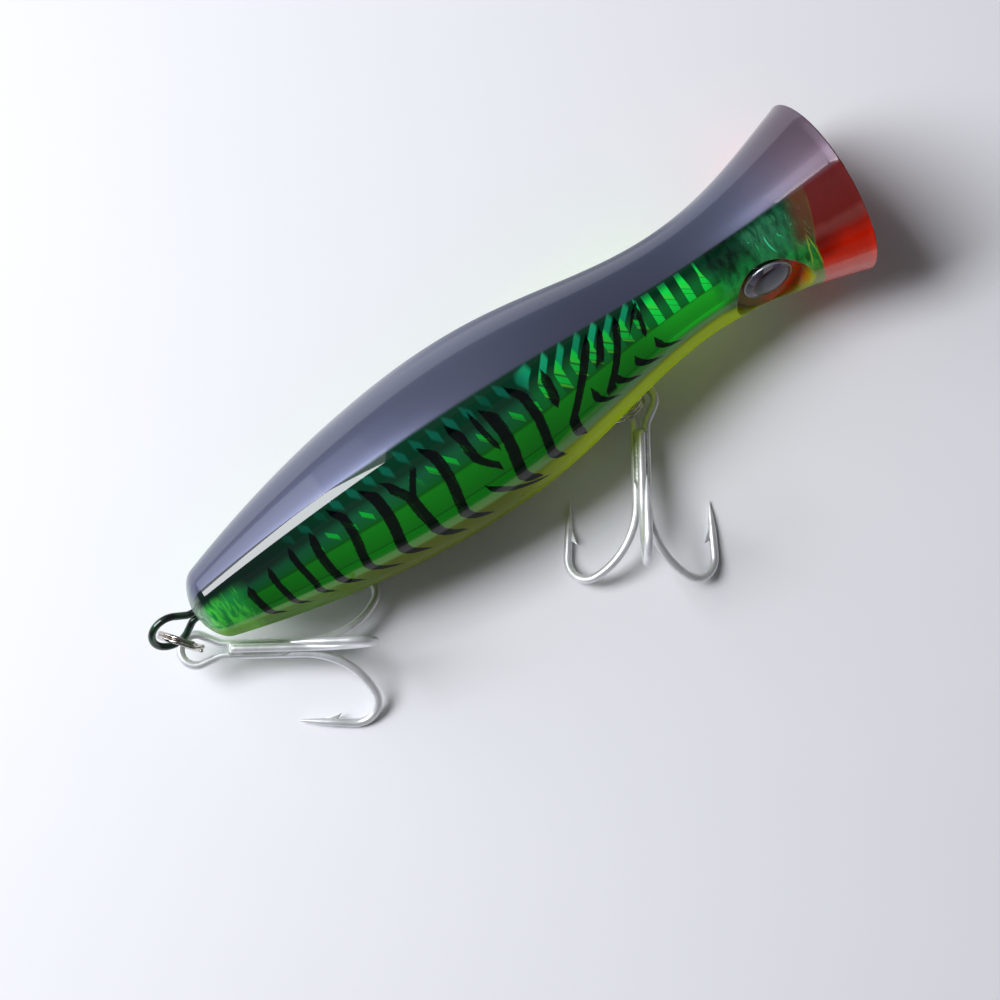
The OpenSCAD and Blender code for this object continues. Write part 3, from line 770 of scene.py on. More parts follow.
def mackerel_stripes(f, x, angle, side, grain):
    """Brush strokes across the flank that hook forward above the belly."""
    hook = ((angle - 87.0) / 18.0).most(0.0) ** 2.0 * 3.4
    forward = (78.0 - angle).most(0.0) * 0.2
    same = 0.4  # how near a stroke's number must be to the one asked for
    fork = 6.0
    short_foot = fork + 2.0

    def strokes(line, pitch, seed, top, foot, half, jitter, forked=False):
        """One row of strokes, each with its own ends, width and wave.

        line is the place in mm across them. top and foot are angles, half is half a width.
        Returns how dark they are, each one's number and the distance from its middle.
        """
        row = line / pitch + 0.5
        number = row.floor()
        luck, more, other = f.parts(f.random_colour(f.join(number, seed, side)))
        wave = (angle * 0.09 + luck * 6.3).sin() * 0.30
        away = (row.fract() - 0.5) * pitch + (other - 0.5) * jitter + wave + grain * 0.30
        if forked:
            early = number.math("COMPARE", short_foot, same)
            foot = foot - early * 24.0
            away = away - early * angle.rise(58.0, 84.0) * 2.6
            away = away + number.math("COMPARE", fork, same) * (58.0 - angle).most(0.0) * 0.12
        ends = (angle - top - more * 5.0).rise(0.0, 11.0)
        ends = ends * (foot - luck * 3.0 - angle).rise(-1.0, 6.0)
        thick = ends * half * (0.85 + more * 0.3)
        return (thick - abs(away)).rise(-0.09, 0.10) * ends.rise(0.02, 0.10), number, away

    # long strokes behind the waist, wider apart at the tail; one forks upwards, one ends early
    start = angle.rise(46.0, 31.0) * x.rise(20.0, 28.0) * 1.3
    line = x - hook + start
    line = (line - 9.8).least((line - 5.0) * (4.0 / 5.5))
    full = 0.62 + x.rise(24.0, 34.0) * 0.05
    low = 104.0 + x.rise(14.0, 40.0) * 5.0 - x.rise(50.0, 64.0) * 6.0
    high = 30.0 + x.rise(26.0, 9.0) * 14.0
    stripe, number, away = strokes(line, 4.0, 3.7, high, low, full, 0.5, forked=True)
    arm = abs(away - (61.0 - angle) * 0.10 - (58.0 - angle).most(0.0) * 0.12) - 0.42
    arm = number.math("COMPARE", fork, same) * angle.within(43.0, 61.0, 2.0) * arm.rise(0.12, -0.06)
    stripe = stripe.most(arm)
    stripe = stripe * number.rise(10.6, 10.4) * x.rise(7.6, 8.6) * number.rise(-0.6, -0.4)
    # a broad stroke swept back below, and short ones above
    sweep = (angle - 76.0).most(0.0)
    line = x - 47.4 - sweep * 0.09 - sweep * sweep * 0.0075
    swept = strokes(line, 40.0, 9.2, 74.0, 111.0, 0.80, 0.2)[0]
    stripe = stripe.most(swept * x.rise(44.0, 45.0) * x.rise(62.0, 60.0))
    after = x.rise(57.0, 60.0)
    line = x - 52.4 - (angle - 47.0) * (0.03 - after * 0.08)
    short = strokes(line, 12.2, 5.1, 30.0, 67.0, after * 0.2 + 0.5, 0.4)[0]
    stripe = stripe.most(short * x.rise(48.0, 49.0) * x.rise(67.6, 67.2))
    # strokes that lean forward from the waist to the neck
    behind = (x - forward).rise(62.8, 62.4)
    slope = (76.0 - angle).most(0.0) * 0.07
    line = x - forward - 65.2 - hook + slope * x.rise(72.0, 80.0)
    crossing, number = strokes(line, 3.8, 8.3, 29.0, 100.0, 0.95, 0.3)[:2]
    foot = 103.0 - x.rise(68.0, 71.0) * 18.0
    odd = number.math("COMPARE", 1.0, same) * angle.rise(56.0, 60.0)
    crossing = crossing * (1.0 - behind) * number.rise(-0.6, -0.4)
    crossing = crossing * (foot - angle).rise(-1.0, 5.0) * (1.0 - odd)
    stripe = stripe.most(crossing * (x - forward).rise(74.6, 74.4))
    # curled strokes low on the flank, and a thin one high up ahead of them
    curl = ((angle - 75.0) / 12.0).most(0.0) ** 2.0 * 2.4
    lower = strokes(x - curl - 69.6, 4.3, 6.4, 65.0, 93.0, 0.78, 1.2)[0]
    stripe = stripe.most(lower * (x - curl).rise(67.6, 67.8) * (x - curl).rise(85.0, 84.6))
    thin = strokes(x - 82.0 - (50.0 - angle) * 0.05, 12.0, 2.2, 29.0, 66.0, 0.50, 0.2)[0]
    return stripe.most(thin * x.rise(79.0, 79.6))


def clear_head(f, colours, x, angle, side, drift, grain, smear, base):
    """Deep clear green with a milky band, partly painted reflection, and thin curved streaks that
    are painted highlights, brown and then red in front.

    Returns the colour and where the green head is.
    """
    head = x.rise(93.5, 97.5) * angle.rise(108.0, 92.0)
    deep = f.node("ShaderNodeValToRGB", {"stops": [
        (0.18, (0.006, 0.040, 0.020)), (0.26, (0.006, 0.060, 0.026)), (0.32, (0.006, 0.150, 0.036)),
        (0.40, (0.008, 0.230, 0.040)), (0.52, (0.05, 0.28, 0.03)),
    ]}, angle / BELLY + (smear - 0.5) * 0.06)
    shadow = x.rise(103.5, 100.5) * x.rise(94.5, 97.5) * angle.rise(64.0, 54.0) * 0.55
    deep = f.lighten(deep, (0.35 + smear.rise(0.32, 0.68) * 1.1) * (1.0 - shadow))
    # a milky band: lighter green, partly a painted reflection inside the clear head
    milky_reflection = x.rise(101.6, 103.4) * x.rise(111.5, 107.0) * angle.rise(32.0, 40.0)
    milky_reflection = milky_reflection * angle.rise(76.0, 64.0)
    wisps = f.noise(f.join(x * 1.1, angle * 0.055, side), 1.3, 4.0, 0.6, 1.2)
    deep = f.mix(milky_reflection * (0.25 + wisps.rise(0.38, 0.66) * 0.7), deep, (0.026, 0.165, 0.072))
    base = f.mix(head, base, deep)
    # brown in front of a border that runs back towards the belly
    front = 114.2 - (angle - 34.0).most(0.0).least(40.0) * 0.07
    brown = (x - front).rise(-4.4, -1.4) * angle.rise(78.0, 62.0)
    base = f.mix(brown * 0.9, base, (0.105, 0.036, 0.018))
    # bright curved streaks: painted highlights on the cup's back, seen through the clear head
    bend = x - abs(angle - 52.0) ** 2.0 * 0.004
    painted_streaks = f.noise(f.join(bend * 0.55, angle * 0.030, side), 1.0, 1.0)
    painted_streaks = abs(painted_streaks - 0.50).rise(0.008, 0.002) * smear.rise(0.50, 0.60)
    painted_streaks = painted_streaks * x.rise(101.0, 103.0) * 0.7
    painted_streaks = painted_streaks.most(abs(bend - 105.2).rise(0.16, 0.05) * angle.within(49.0, 63.0, 3.0))
    painted_streaks = painted_streaks * head * angle.within(38.0, 76.0, 4.0) * (x - front).rise(0.0, -1.0)
    base = f.mix(painted_streaks * 0.75, base, (0.06, 0.75, 0.36))
    # clear red mouth, dark above and orange below; its brightest, pinkish end low on the mouth is
    # painted light, raised against the shade there and keeping some painted reflection
    rosy = f.node("ShaderNodeValToRGB", {"stops": [
        (0.10, (0.060, 0.020, 0.030)), (0.19, (0.110, 0.016, 0.016)),
        (0.335, (0.150, 0.012, 0.010)), (0.357, (0.210, 0.036, 0.030)),
        (0.375, (0.210, 0.036, 0.030)), (0.408, (0.340, 0.010, 0.002)),
        (0.45, colours.red), (0.51, (0.820, 0.024, 0.002)), (0.56, (1.0, 0.100, 0.060)),
    ]}, angle / BELLY + drift * 0.04)
    shadow = x.rise(116.5, 112.0) * angle.within(70.0, 89.0, 4.0) * 0.5
    rosy = f.lighten(rosy, (0.85 + smear * 0.3) * (1.0 - shadow))
    base = f.mix((x - front).rise(-0.20, 0.20), base, rosy)
    # yellow-green trim along the border, and veins below it
    trim = abs(x - front).rise(0.22, 0.05) * angle.within(40.0, 72.0, 4.0) * 0.05
    veins = abs(x - 110.2 + (angle - 80.0) * 0.03 + grain * 0.3).rise(0.17, 0.05)
    veins = veins.most(abs(x - 111.2 - (angle - 80.0) * 0.02 + grain * 0.3).rise(0.13, 0.04))
    trim = trim.most(veins * angle.within(66.0, 92.0, 5.0) * 0.7)
    return f.mix(trim, base, (0.34, 0.52, 0.04)), head


def satin_back(f, colours, x, angle, side, base):
    """Airbrushed back, lower on the left flank, with a dark edge behind and a milky tail tip.

    Returns the colour, where the back is and where the tail tip is.
    """
    border = (17.0 + x * 0.21).least(21.4 + x * 0.085).least(33.0) + x.rise(96.0, 106.0)
    border = border + side.rise(0.0, 0.5) * 16.0
    spray = f.noise(f.join(x * 2.0, angle * 0.35, side), 6.0, 2.0) - 0.5
    soft = x.rise(24.0, 38.0) * 1.5 + x.rise(106.0, 114.0) * 2.6 + 0.4
    back = ((border - angle + spray * 1.2) / soft).rise(-0.8, 0.8)
    rim = abs(angle - border).rise(1.1, 0.3) * x.rise(34.0, 28.0)
    paint = f.mix(x.within(66.0, 98.0, 12.0) * 0.45, colours.back, (0.050, 0.056, 0.090))
    paint = f.mix(x.rise(101.0, 118.5), paint, (0.108, 0.078, 0.104))
    base = f.mix(back, base, paint)
    base = f.mix(rim * 0.9, base, (0.010, 0.010, 0.014))
    milk = x.rise(2.4, 0.4)
    return f.mix(milk * 0.6, base, (0.30, 0.38, 0.32)), back, milk


def eye_pockets(f, x, angle, side, seat, edge, base):
    """Clear floors with the red and green behind showing, and pale edges that are painted
    highlights.
    """
    cloud = f.noise(f.join(x * 0.8, angle * 0.10, side), 1.0, 2.0, 0.5, 1.0)
    pocket = f.mix(cloud.rise(0.42, 0.66), (0.80, 0.050, 0.002), (0.34, 0.080, 0.004))
    pocket = f.mix(abs(cloud - 0.56).rise(0.014, 0.004) * 0.6, pocket, (0.26, 0.32, 0.012))
    pocket = f.mix(x.rise(104.5, 101.0) * 0.85, pocket, (0.11, 0.13, 0.006))
    pocket = f.mix(angle.rise(82.0, 72.0), pocket, (0.003, 0.040, 0.014))
    base = f.mix(seat, base, pocket)
    # pale edges round the pockets: painted highlights
    return f.mix(edge.rise(0.72, 0.98) * 0.35, base, (0.34, 0.46, 0.10))


def gloss_cover(x, angle, side, back, seat):
    """Weight of the clear coat: thin on the sprayed back, in bands low on the flank and in the
    eye pockets, and full elsewhere."""
    left = side.rise(0.0, 0.5) * angle.rise(1.0, 7.0)
    wedge = (22.3 + (x - 27.0) * 0.77 - angle).rise(0.0, 0.5) * x.rise(26.0, 27.5)
    wedge = wedge * x.rise(46.0, 42.0)
    dull = (back * (0.55 + x.rise(98.0, 106.0) * 0.4)).most(wedge * 0.9) * (1.0 - left)
    low = angle.rise(78.0, 83.0)
    hollow = low * angle.rise(88.5, 86.5) * 0.7
    hollow = hollow.most(angle.rise(93.0, 96.0) * x.rise(104.0, 98.0) * 0.75)
    hollow = hollow.most(low * angle.rise(100.0, 98.0) * x.rise(109.0, 110.0) * 0.8)
    left_flank = left * angle.rise(20.0, 28.0) * x.rise(34.0, 62.0) * x.rise(102.0, 92.0)
    hollow = hollow.most(left_flank * 0.85)
    below_back = (angle - 28.1 - x * 0.05).rise(-0.3, 0.3) * angle.rise(40.0, 38.0)
    hollow = hollow.most(below_back * (1.0 - left))
    return (1.0 - dull) * (1.0 - hollow * (1.0 - seat)) * (1.0 - seat * 0.75)


def lacquer(colours):
    """Clear gloss over paint, over a reflective film in the flanks.

    The attribute paint holds x in mm, the angle from the back in degrees and the side; zones
    holds the cup, the eye pockets and their edges.
    """
    f = Finish("lacquer")
    x, angle, side = f.parts(f.attribute("paint"))
    cup, seat, edge = f.parts(f.attribute("zones"))
    drift = f.noise(f.join(x * 0.06, angle * 0.012, side), 3.0, 2.0) - 0.5
    grain = f.noise(f.join(x * 1.2, angle * 0.16, side), 1.7, 3.0) - 0.5
    smear = f.noise(f.join(x * 0.35, angle * 0.03, side), 2.0, 3.0)
    base = clear_flank(f, colours, x, angle, drift)
    base, glint, height = reflective_film(f, colours, x, angle, side, base)
    base = tail_end(f, x, angle, side, base)
    stripe = mackerel_stripes(f, x, angle, side, grain)
    base = f.mix(stripe * 0.97 * x.rise(90.0, 88.5), base, colours.ink)
    base, head = clear_head(f, colours, x, angle, side, drift, grain, smear, base)
    base, back, milk = satin_back(f, colours, x, angle, side, base)
    base = eye_pockets(f, x, angle, side, seat, edge, base)
    base = f.mix(cup, base, (0.46, 0.012, 0.003))
    metal = (back * (0.45 - x.rise(104.0, 110.0) * 0.15)).most(glint * 0.25)
    metal = metal * ((1.0 - cup) * (1.0 - milk))
    return f.surface(
        Base_Color=base, Metallic=metal, Roughness=back * 0.07 + 0.25, IOR=1.5,
        Specular_IOR_Level=0.0, Coat_Weight=gloss_cover(x, angle, side, back, seat),
        Coat_Roughness=0.02, Coat_IOR=1.5,
        Normal=f.bump(height * (1.0 - head) * (1.0 - stripe), 0.2, 0.0003),
    )


def printed_eye(centre, across, along):
    """Foil print: a faceted silver ring round a dark pupil, which sits a little forward."""
    f = Finish("printed_eye")
    shift = f.node("ShaderNodeVectorMath", {"operation": "SUBTRACT"}, f.place(), tuple(centre))
    u, v = (
        f.node("ShaderNodeVectorMath", {"operation": "DOT_PRODUCT"}, shift, tuple(way), out=1) / MM
        for way in (along, across)
    )
    far = (u * u + v * v) ** 0.5
    # silver facets between spokes that curl outwards
    spoke = v.math("ARCTAN2", u) * 2.2 + far * 0.35
    gloss, hue, tilt = f.parts(f.random_colour(f.join(spoke.floor(), 1.5)))
    ring = f.mix(gloss.rise(0.15, 0.85), (0.090, 0.110, 0.160), (0.62, 0.64, 0.70))
    ring = f.mix(spoke.fract() * 0.45, ring, (0.50, 0.54, 0.62))
    ring = f.mix(hue.within(0.40, 0.60, 0.04) * 0.5, ring, (0.25, 0.18, 0.45))
    # a red line, then the dark pupil with a paler painted sheen, a reflection to one side, then the
    # bright rim of the print
    pupil = ((u - 0.6) ** 2.0 + (v + 0.4) ** 2.0) ** 0.5
    base = f.mix(pupil.rise(3.34, 3.22), ring, (0.60, 0.10, 0.06))
    base = f.mix(pupil.rise(3.22, 3.12), base, (0.004, 0.004, 0.006))
    painted_sheen = ((u - 1.7) ** 2.0 + (v + 0.2) ** 2.0) ** 0.5
    base = f.mix(pupil.rise(3.12, 3.0) * painted_sheen.rise(3.5, 2.3), base, (0.130, 0.122, 0.185))
    base = f.mix(far.rise(3.84, 3.96), base, (0.72, 0.74, 0.78))
    metal = pupil.rise(3.20, 3.30) * 0.5
    return f.surface(Base_Color=base, Metallic=metal, Roughness=0.3, Specular_IOR_Level=0.1,
                     Normal=f.bump(tilt * pupil.rise(3.2, 3.3), 0.2, 0.0002))


def clear_dome():
    """Clear resin, a little uneven."""
    f = Finish("clear_dome")
    return f.surface(Base_Color=(1.0, 1.0, 1.0, 1.0), Roughness=0.0, IOR=1.45,
                     Specular_IOR_Level=0.3, Transmission_Weight=1.0,
                     Normal=f.bump(f.noise(f.place(), 260.0), 0.02, 0.0001))


def coated_wire():
    """Wire under the body's dark paint and clear coat."""
    f = Finish("coated_wire")
    blotch = f.noise(f.place(), 420.0, 3.0)
    base = f.mix(blotch.rise(0.42, 0.60), (0.005, 0.007, 0.008), (0.003, 0.040, 0.014))
    return f.surface(Base_Color=base, Metallic=0.55, Roughness=0.30 + blotch * 0.1,
                     Coat_Weight=1.0, Coat_Roughness=0.04,
                     Normal=f.bump(f.noise(f.place(), 900.0), 0.08, 0.0001))


def tinned_steel():
    """Hot-tinned hook wire: bright, with a soft cloudy sheen."""
    f = Finish("tinned_steel")
    cloud = f.noise(f.place(), 260.0, 4.0)
    streak = f.noise(f.place(), 1500.0, 2.0)
    base = f.mix(cloud.rise(0.3, 0.7), (0.70, 0.72, 0.72), (0.86, 0.87, 0.89))
    return f.surface(Base_Color=base, Metallic=0.55, Roughness=0.30 + cloud * 0.16,
                     Normal=f.bump(streak + cloud * 2.0, 0.10, 0.0001))


def braze():
    """Solder between the shanks, duller than the tinned wire, and darker and greener: a painted
    reflection of the green body.
    """
    f = Finish("braze")
    cloud = f.noise(f.place(), 380.0, 5.0)
    base = f.mix(cloud.rise(0.35, 0.65), (0.42, 0.46, 0.41), (0.66, 0.69, 0.66))
    return f.surface(Base_Color=base, Metallic=0.6, Roughness=0.34 + cloud * 0.2,
                     Normal=f.bump(cloud, 0.35, 0.0002))


def ring_steel():
    """Polished stainless spring wire."""
    f = Finish("ring_steel")
    cloud = f.noise(f.place(), 700.0, 3.0)
    base = f.mix(cloud.rise(0.35, 0.65), (0.50, 0.46, 0.42), (0.72, 0.69, 0.66))
    return f.surface(Base_Color=base, Metallic=1.0, Roughness=0.12 + cloud * 0.14,
                     Normal=f.bump(cloud, 0.05, 0.0001))


def inner_finish(name, dark, light, metal, rough, scale):
    """A plain cloudy finish for a part sealed in the body."""
    f = Finish(name)
    cloud = f.noise(f.place(), scale, 3.0)
    return f.surface(Base_Color=f.mix(cloud, dark, light), Metallic=metal,
                     Roughness=rough + cloud * 0.1, Normal=f.bump(cloud, 0.1, 0.0001))


# ---------------------------------------------------------------- pieces


def dress(piece, body, slot, finish, *nodes):
    """Gives a piece its finish and body, and hides the solids that it stands for; the slot is not
    used.
    """
    piece.data.materials.clear()
    piece.data.materials.append(finish)
    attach(piece, body)
    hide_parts(*nodes)


def repaint(node, finish):
    """A new finish on a solid that keeps its shape."""
    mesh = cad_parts[node].data
    mesh.materials.clear()
    mesh.materials.append(finish)


def rest_pose(hardware, form, lay):
    """Where the rings and hooks lie, in the lying lure's millimetres: the same chain of loop,
    ring and hook eye as in the solids.

    For belly and tail: the ring's centre, yaw and tilt, then the hook eye's centre, the
    treble's yaw and its tilt, with the angles in degrees.
    """
    down = lay.roll @ [0.0, 0.0, -1.0]
    level = np.array([0.0, 0.0, lay.height])
    wire, ring_wire, hook_wire = (
        v / MM for v in (hardware.eye_wire, hardware.ring_wire, hardware.hook_wire)
    )
    ring_r = (hardware.ring / MM - ring_wire) / 2
    play = 0.25
    # tail: the ring hangs from the bottom of its loop, and the hook eye from the ring
    loop_r = TAIL_LOOP[0]
    loop_x = -loop_reach(*TAIL_LOOP, (wire + LEG_GAP) / 2)
    tail_ring = np.array([loop_x + 0.1, 0.1, 0.0]) + level + loop_r * down
    tail_ring = tail_ring - [0, 0, ring_r - ring_wire / 2 - wire / 2 - 2 * play]
    tail_hook = tail_ring - [0, 0, ring_r - ring_wire / 2 - hook_wire / 2 - play]
    tail_hook[:2] += HOOK_LOOP[0] * direction(-62)
    # belly: ring and hook are pulled forward and down from a loop under the waist
    belly_loop_drop = 2.2
    ring_way, hook_way = np.array([0.895, -0.355, 0.261]), np.array([0.902, -0.292, 0.322])
    under = float(form.radius(BELLY_LOOP_AT)) + belly_loop_drop
    belly_loop = np.array([BELLY_LOOP_AT, 0, 0]) + level + under * down
    belly_ring = belly_loop + (ring_r - 0.1) * ring_way
    belly_hook = belly_ring + (ring_r - 0.45) * hook_way
    return {
        "belly": (belly_ring, -3.0, -53.7, belly_hook, 236.2, -5.45),
        "tail": (tail_ring, -52.0, 90.0, tail_hook, -33.0, 1.8),
    }


class POPPER_OT_shell(bpy.types.Operator):
    """Makes the lacquered body with its cupped mouth and eye pockets"""

    bl_idname = "popper.shell"
    bl_label = "Body"

    def execute(self, context):
        scene = context.scene
        sizes, eyes = scene.popper_body, scene.popper_eyes
        form, lay = BodyForm(sizes), Lay(sizes.roll)
        grid, poles, paint, zones = shell_grid(form, eyes)
        ends = np.zeros((2, 3))
        ends[:, 0] = [0.0, form.length - form.cup]
        cup_end = np.array([[0.0, 0.0, 0.0], [1.0, 0.0, 0.0]])
        fields = {
            "paint": np.concatenate([paint.reshape(-1, 3), ends]),
            "zones": np.concatenate([zones.reshape(-1, 3), cup_end]),
        }
        piece = surface_piece(
            "lacquered_body", lay.upright(grid), lay.upright(poles), fields=fields
        )
        dress(piece, "body", "painted_shell", lacquer(scene.popper_colours),
              "shell_right", "shell_left")
        return {"FINISHED"}


class POPPER_OT_eyes(bpy.types.Operator):
    """Makes the two printed eyes, each inside its clear dome"""

    bl_idname = "popper.eyes"
    bl_label = "Eyes"

    def execute(self, context):
        scene = context.scene
        form, lay = BodyForm(scene.popper_body), Lay(scene.popper_body.roll)
        eyes = scene.popper_eyes
        r, rise, sheet = eyes.diameter / MM / 2, eyes.dome / MM, 0.4
        cap = (r * r + rise * rise) / (2 * rise)
        turn = np.linspace(0, 2 * np.pi, 96, endpoint=False)
        # profiles from the top to the underside: a spherical cap with a rim, and the print in it
        out = r * np.sin(np.radians(np.linspace(2, 90, 26)))
        high = sheet + rise - cap + np.sqrt(cap * cap - out * out)
        dome = (np.append(out, [r, r - 0.04, r / 2]), np.append(high, [0.08, 0.03, 0.03]))
        out = (r - 0.15) * np.linspace(0.02, 1, 24)
        edge = [r - 0.1, r - 0.1, r / 2]
        disc = (np.append(out, edge), np.append(0 * out + sheet, [0.35, 0.1, 0.1]))
        clear = clear_dome()
        for name, side in (("right", -1), ("left", 1)):
            facing = turn_about("X", -side * (math.pi / 2 + eyes.tilt))
            floor = [0.0, 0.0, form.neck_r - eyes.depth / MM]
            slope = turn_about("Y", -eyes.face)

            def lay_eye(points):
                """From the eye's own axes, with Z out of its face, to the shared frame."""
                sloped = (np.asarray(points) + [0.1, -side * eyes.lift / MM, 0.0]) @ slope.T
                local = (sloped + floor) @ facing.T
                return lay.upright(local + [form.length - eyes.back / MM, 0.0, 0.0])

            turned = lay.roll @ facing @ slope
            finish = printed_eye(lay_eye([0.0, 0.0, sheet]), turned @ [0.0, -side, 0.0],
                                 turned @ [1.0, 0.0, 0.0])
            for label, (out, high), slot, look in (
                ("eye_dome_", dome, "clear_resin", clear), ("eye_disc_", disc, "eye_print", finish)
            ):
                around = out[:, None]
                grid = np.stack([
                    around * np.cos(turn), around * np.sin(turn), high[:, None] + 0 * turn
                ], axis=-1)
                tips = [[0, 0, high[0]], [0, 0, high[-1]]]
                piece = surface_piece("crowned_" + label + name, lay_eye(grid), lay_eye(tips))
                dress(piece, "body", slot, look, label + name)
        return {"FINISHED"}


class POPPER_OT_wire_eyes(bpy.types.Operator):
    """Makes the line tie and the two fixed eyes that carry the split rings"""

    bl_idname = "popper.wire_eyes"
    bl_label = "Wire eyes"

    def execute(self, context):
        scene = context.scene
        form, lay = BodyForm(scene.popper_body), Lay(scene.popper_body.roll)
        wire = scene.popper_hardware.eye_wire / MM
        lean = form.lean / 2
        cup_x, cup_z = form.cup * math.cos(lean), form.cup * math.sin(lean)
        loops = {
            "tail_eye_wire": (TAIL_LOOP, np.eye(3), [0.0, 0.0, 0.0]),
            "belly_eye_wire": (BELLY_LOOP, turn_about("Y", -math.pi / 2),
                               [BELLY_LOOP_AT, 0.0, -float(form.radius(BELLY_LOOP_AT))]),
            "line_tie_wire": (LINE_TIE, turn_about("Y", lean) @ turn_about("Z", math.pi),
                              [form.length - cup_x, 0.0, cup_z]),
        }
        finish = coated_wire()
        for node, (loop, turn, at) in loops.items():
            line = half_loop(*loop, (wire + LEG_GAP) / 2, 0.12)
            # the legs go on into the body
            leg = np.linspace(0.3, 3.2, 10)
            line = np.concatenate([line, np.stack([leg, leg * 0 + line[-1, 1]], axis=1)])
            flat = np.concatenate([line[::-1] * [1, -1], line[1:]])
            path = np.stack([flat[:, 0], 0 * flat[:, 0], flat[:, 1]], axis=1) @ turn.T + at
            guides = np.repeat((turn @ [0.0, 1.0, 0.0])[None], len(path), 0)
            grid = lay.upright(tube(path, np.full(len(path), wire / 2), guides, 20))
            piece = surface_piece("bent_" + node, grid, lay.upright(path[[0, -1]]))
            dress(piece, "body", "coated_wire", finish, node)
        return {"FINISHED"}


class POPPER_OT_rings(bpy.types.Operator):
    """Makes the two split rings, each a coil of two touching turns"""

    bl_idname = "popper.rings"
    bl_label = "Split rings"

    def execute(self, context):
        scene = context.scene
        hardware, body = scene.popper_hardware, scene.popper_body
        form, lay = BodyForm(body), Lay(body.roll)
        wire = hardware.ring_wire / MM
        ring_r = (hardware.ring / MM - wire) / 2
        # one turn low, a short step up, one turn high, with the ends ground round
        count = 260
        turn = np.radians(np.linspace(42, 712, count))
        lift = wire * 0.94 * (smooth_step(np.degrees(turn), 358, 402) - 0.5)
        line = np.stack([ring_r * np.cos(turn), ring_r * np.sin(turn), lift], axis=1)
        ends = np.minimum(np.arange(count), np.arange(count)[::-1]) / 3.0
        radii = wire / 2 * np.sqrt(1 - np.clip(1 - ends, 0, 0.94) ** 2)
        guides = np.repeat([[0.0, 0.0, 1.0]], count, 0)
        finish = ring_steel()
        for name, pose in rest_pose(hardware, form, lay).items():
            at, yaw, tilt = pose[:3]
            spin = turn_about("Z", math.radians(yaw)) @ turn_about("X", math.radians(tilt))
            path = line @ spin.T + at
            grid = tube(path, radii, guides @ spin.T, 18)
            piece = surface_piece(name + "_ring_coil", lay.lying(grid), lay.lying(path[[0, -1]]))
            dress(piece, name + "_ring", "ring_steel", finish, name + "_split_ring")
        return {"FINISHED"}


class POPPER_OT_trebles(bpy.types.Operator):
    """Makes the two treble hooks: a bent two-point wire with the eye, a third point and braze"""

    bl_idname = "popper.trebles"
    bl_label = "Treble hooks"

    def execute(self, context):
        scene = context.scene
        hardware, body = scene.popper_hardware, scene.popper_body
        form, lay, treble = BodyForm(body), Lay(body.roll), TrebleForm(hardware)
        wires, solder = tinned_steel(), braze()
        for name, pose in rest_pose(hardware, form, lay).items():
            at, yaw, tilt = pose[3:]
            spin = turn_about("Z", math.radians(yaw)) @ turn_about("Y", math.radians(tilt))

            def lay_hook(points):
                """From the treble's own axes to the shared frame."""
                return lay.lying((np.asarray(points) + treble.middle) @ spin.T + at)

            made = [
                ("two_point_wire", treble.two_point_wire(), wires, (name + "_hook_double",)),
                ("third_point_wire", treble.third_point_wire(), wires, (name + "_hook_single",)),
                ("braze", treble.braze(), solder, ()),
            ]
            for i, angle in enumerate(treble.ANGLES):
                made.append((f"barb_{i + 1}", treble.barb(angle), wires, ()))
            for label, (grid, tips), finish, nodes in made:
                piece = surface_piece(f"{name}_{label}", lay_hook(grid), lay_hook(tips))
                dress(piece, name + "_treble", "tinned_steel", finish, *nodes)
        return {"FINISHED"}


class POPPER_OT_inner_parts(bpy.types.Operator):
    """Finishes the sealed parts: reflective films, ballast and rattle balls"""

    bl_idname = "popper.inner_parts"
    bl_label = "Inner parts"

    def execute(self, context):
        film = inner_finish("film", (0.05, 0.5, 0.05), (0.25, 0.8, 0.2), 0.9, 0.2, 900.0)
        ballast = inner_finish("ballast", (0.3, 0.3, 0.31), (0.45, 0.45, 0.46), 1.0, 0.4, 500.0)
        ball = inner_finish("steel_ball", (0.6, 0.6, 0.62), (0.75, 0.75, 0.77), 1.0, 0.08, 300.0)
        for nodes, finish in (
            (("foil_right", "foil_left"), film),
            (("belly_weight", "tail_weight"), ballast),
            (("rattle_ball_rear", "rattle_ball_middle", "rattle_ball_front"), ball),
        ):
            for node in nodes:
                repaint(node, finish)
        return {"FINISHED"}


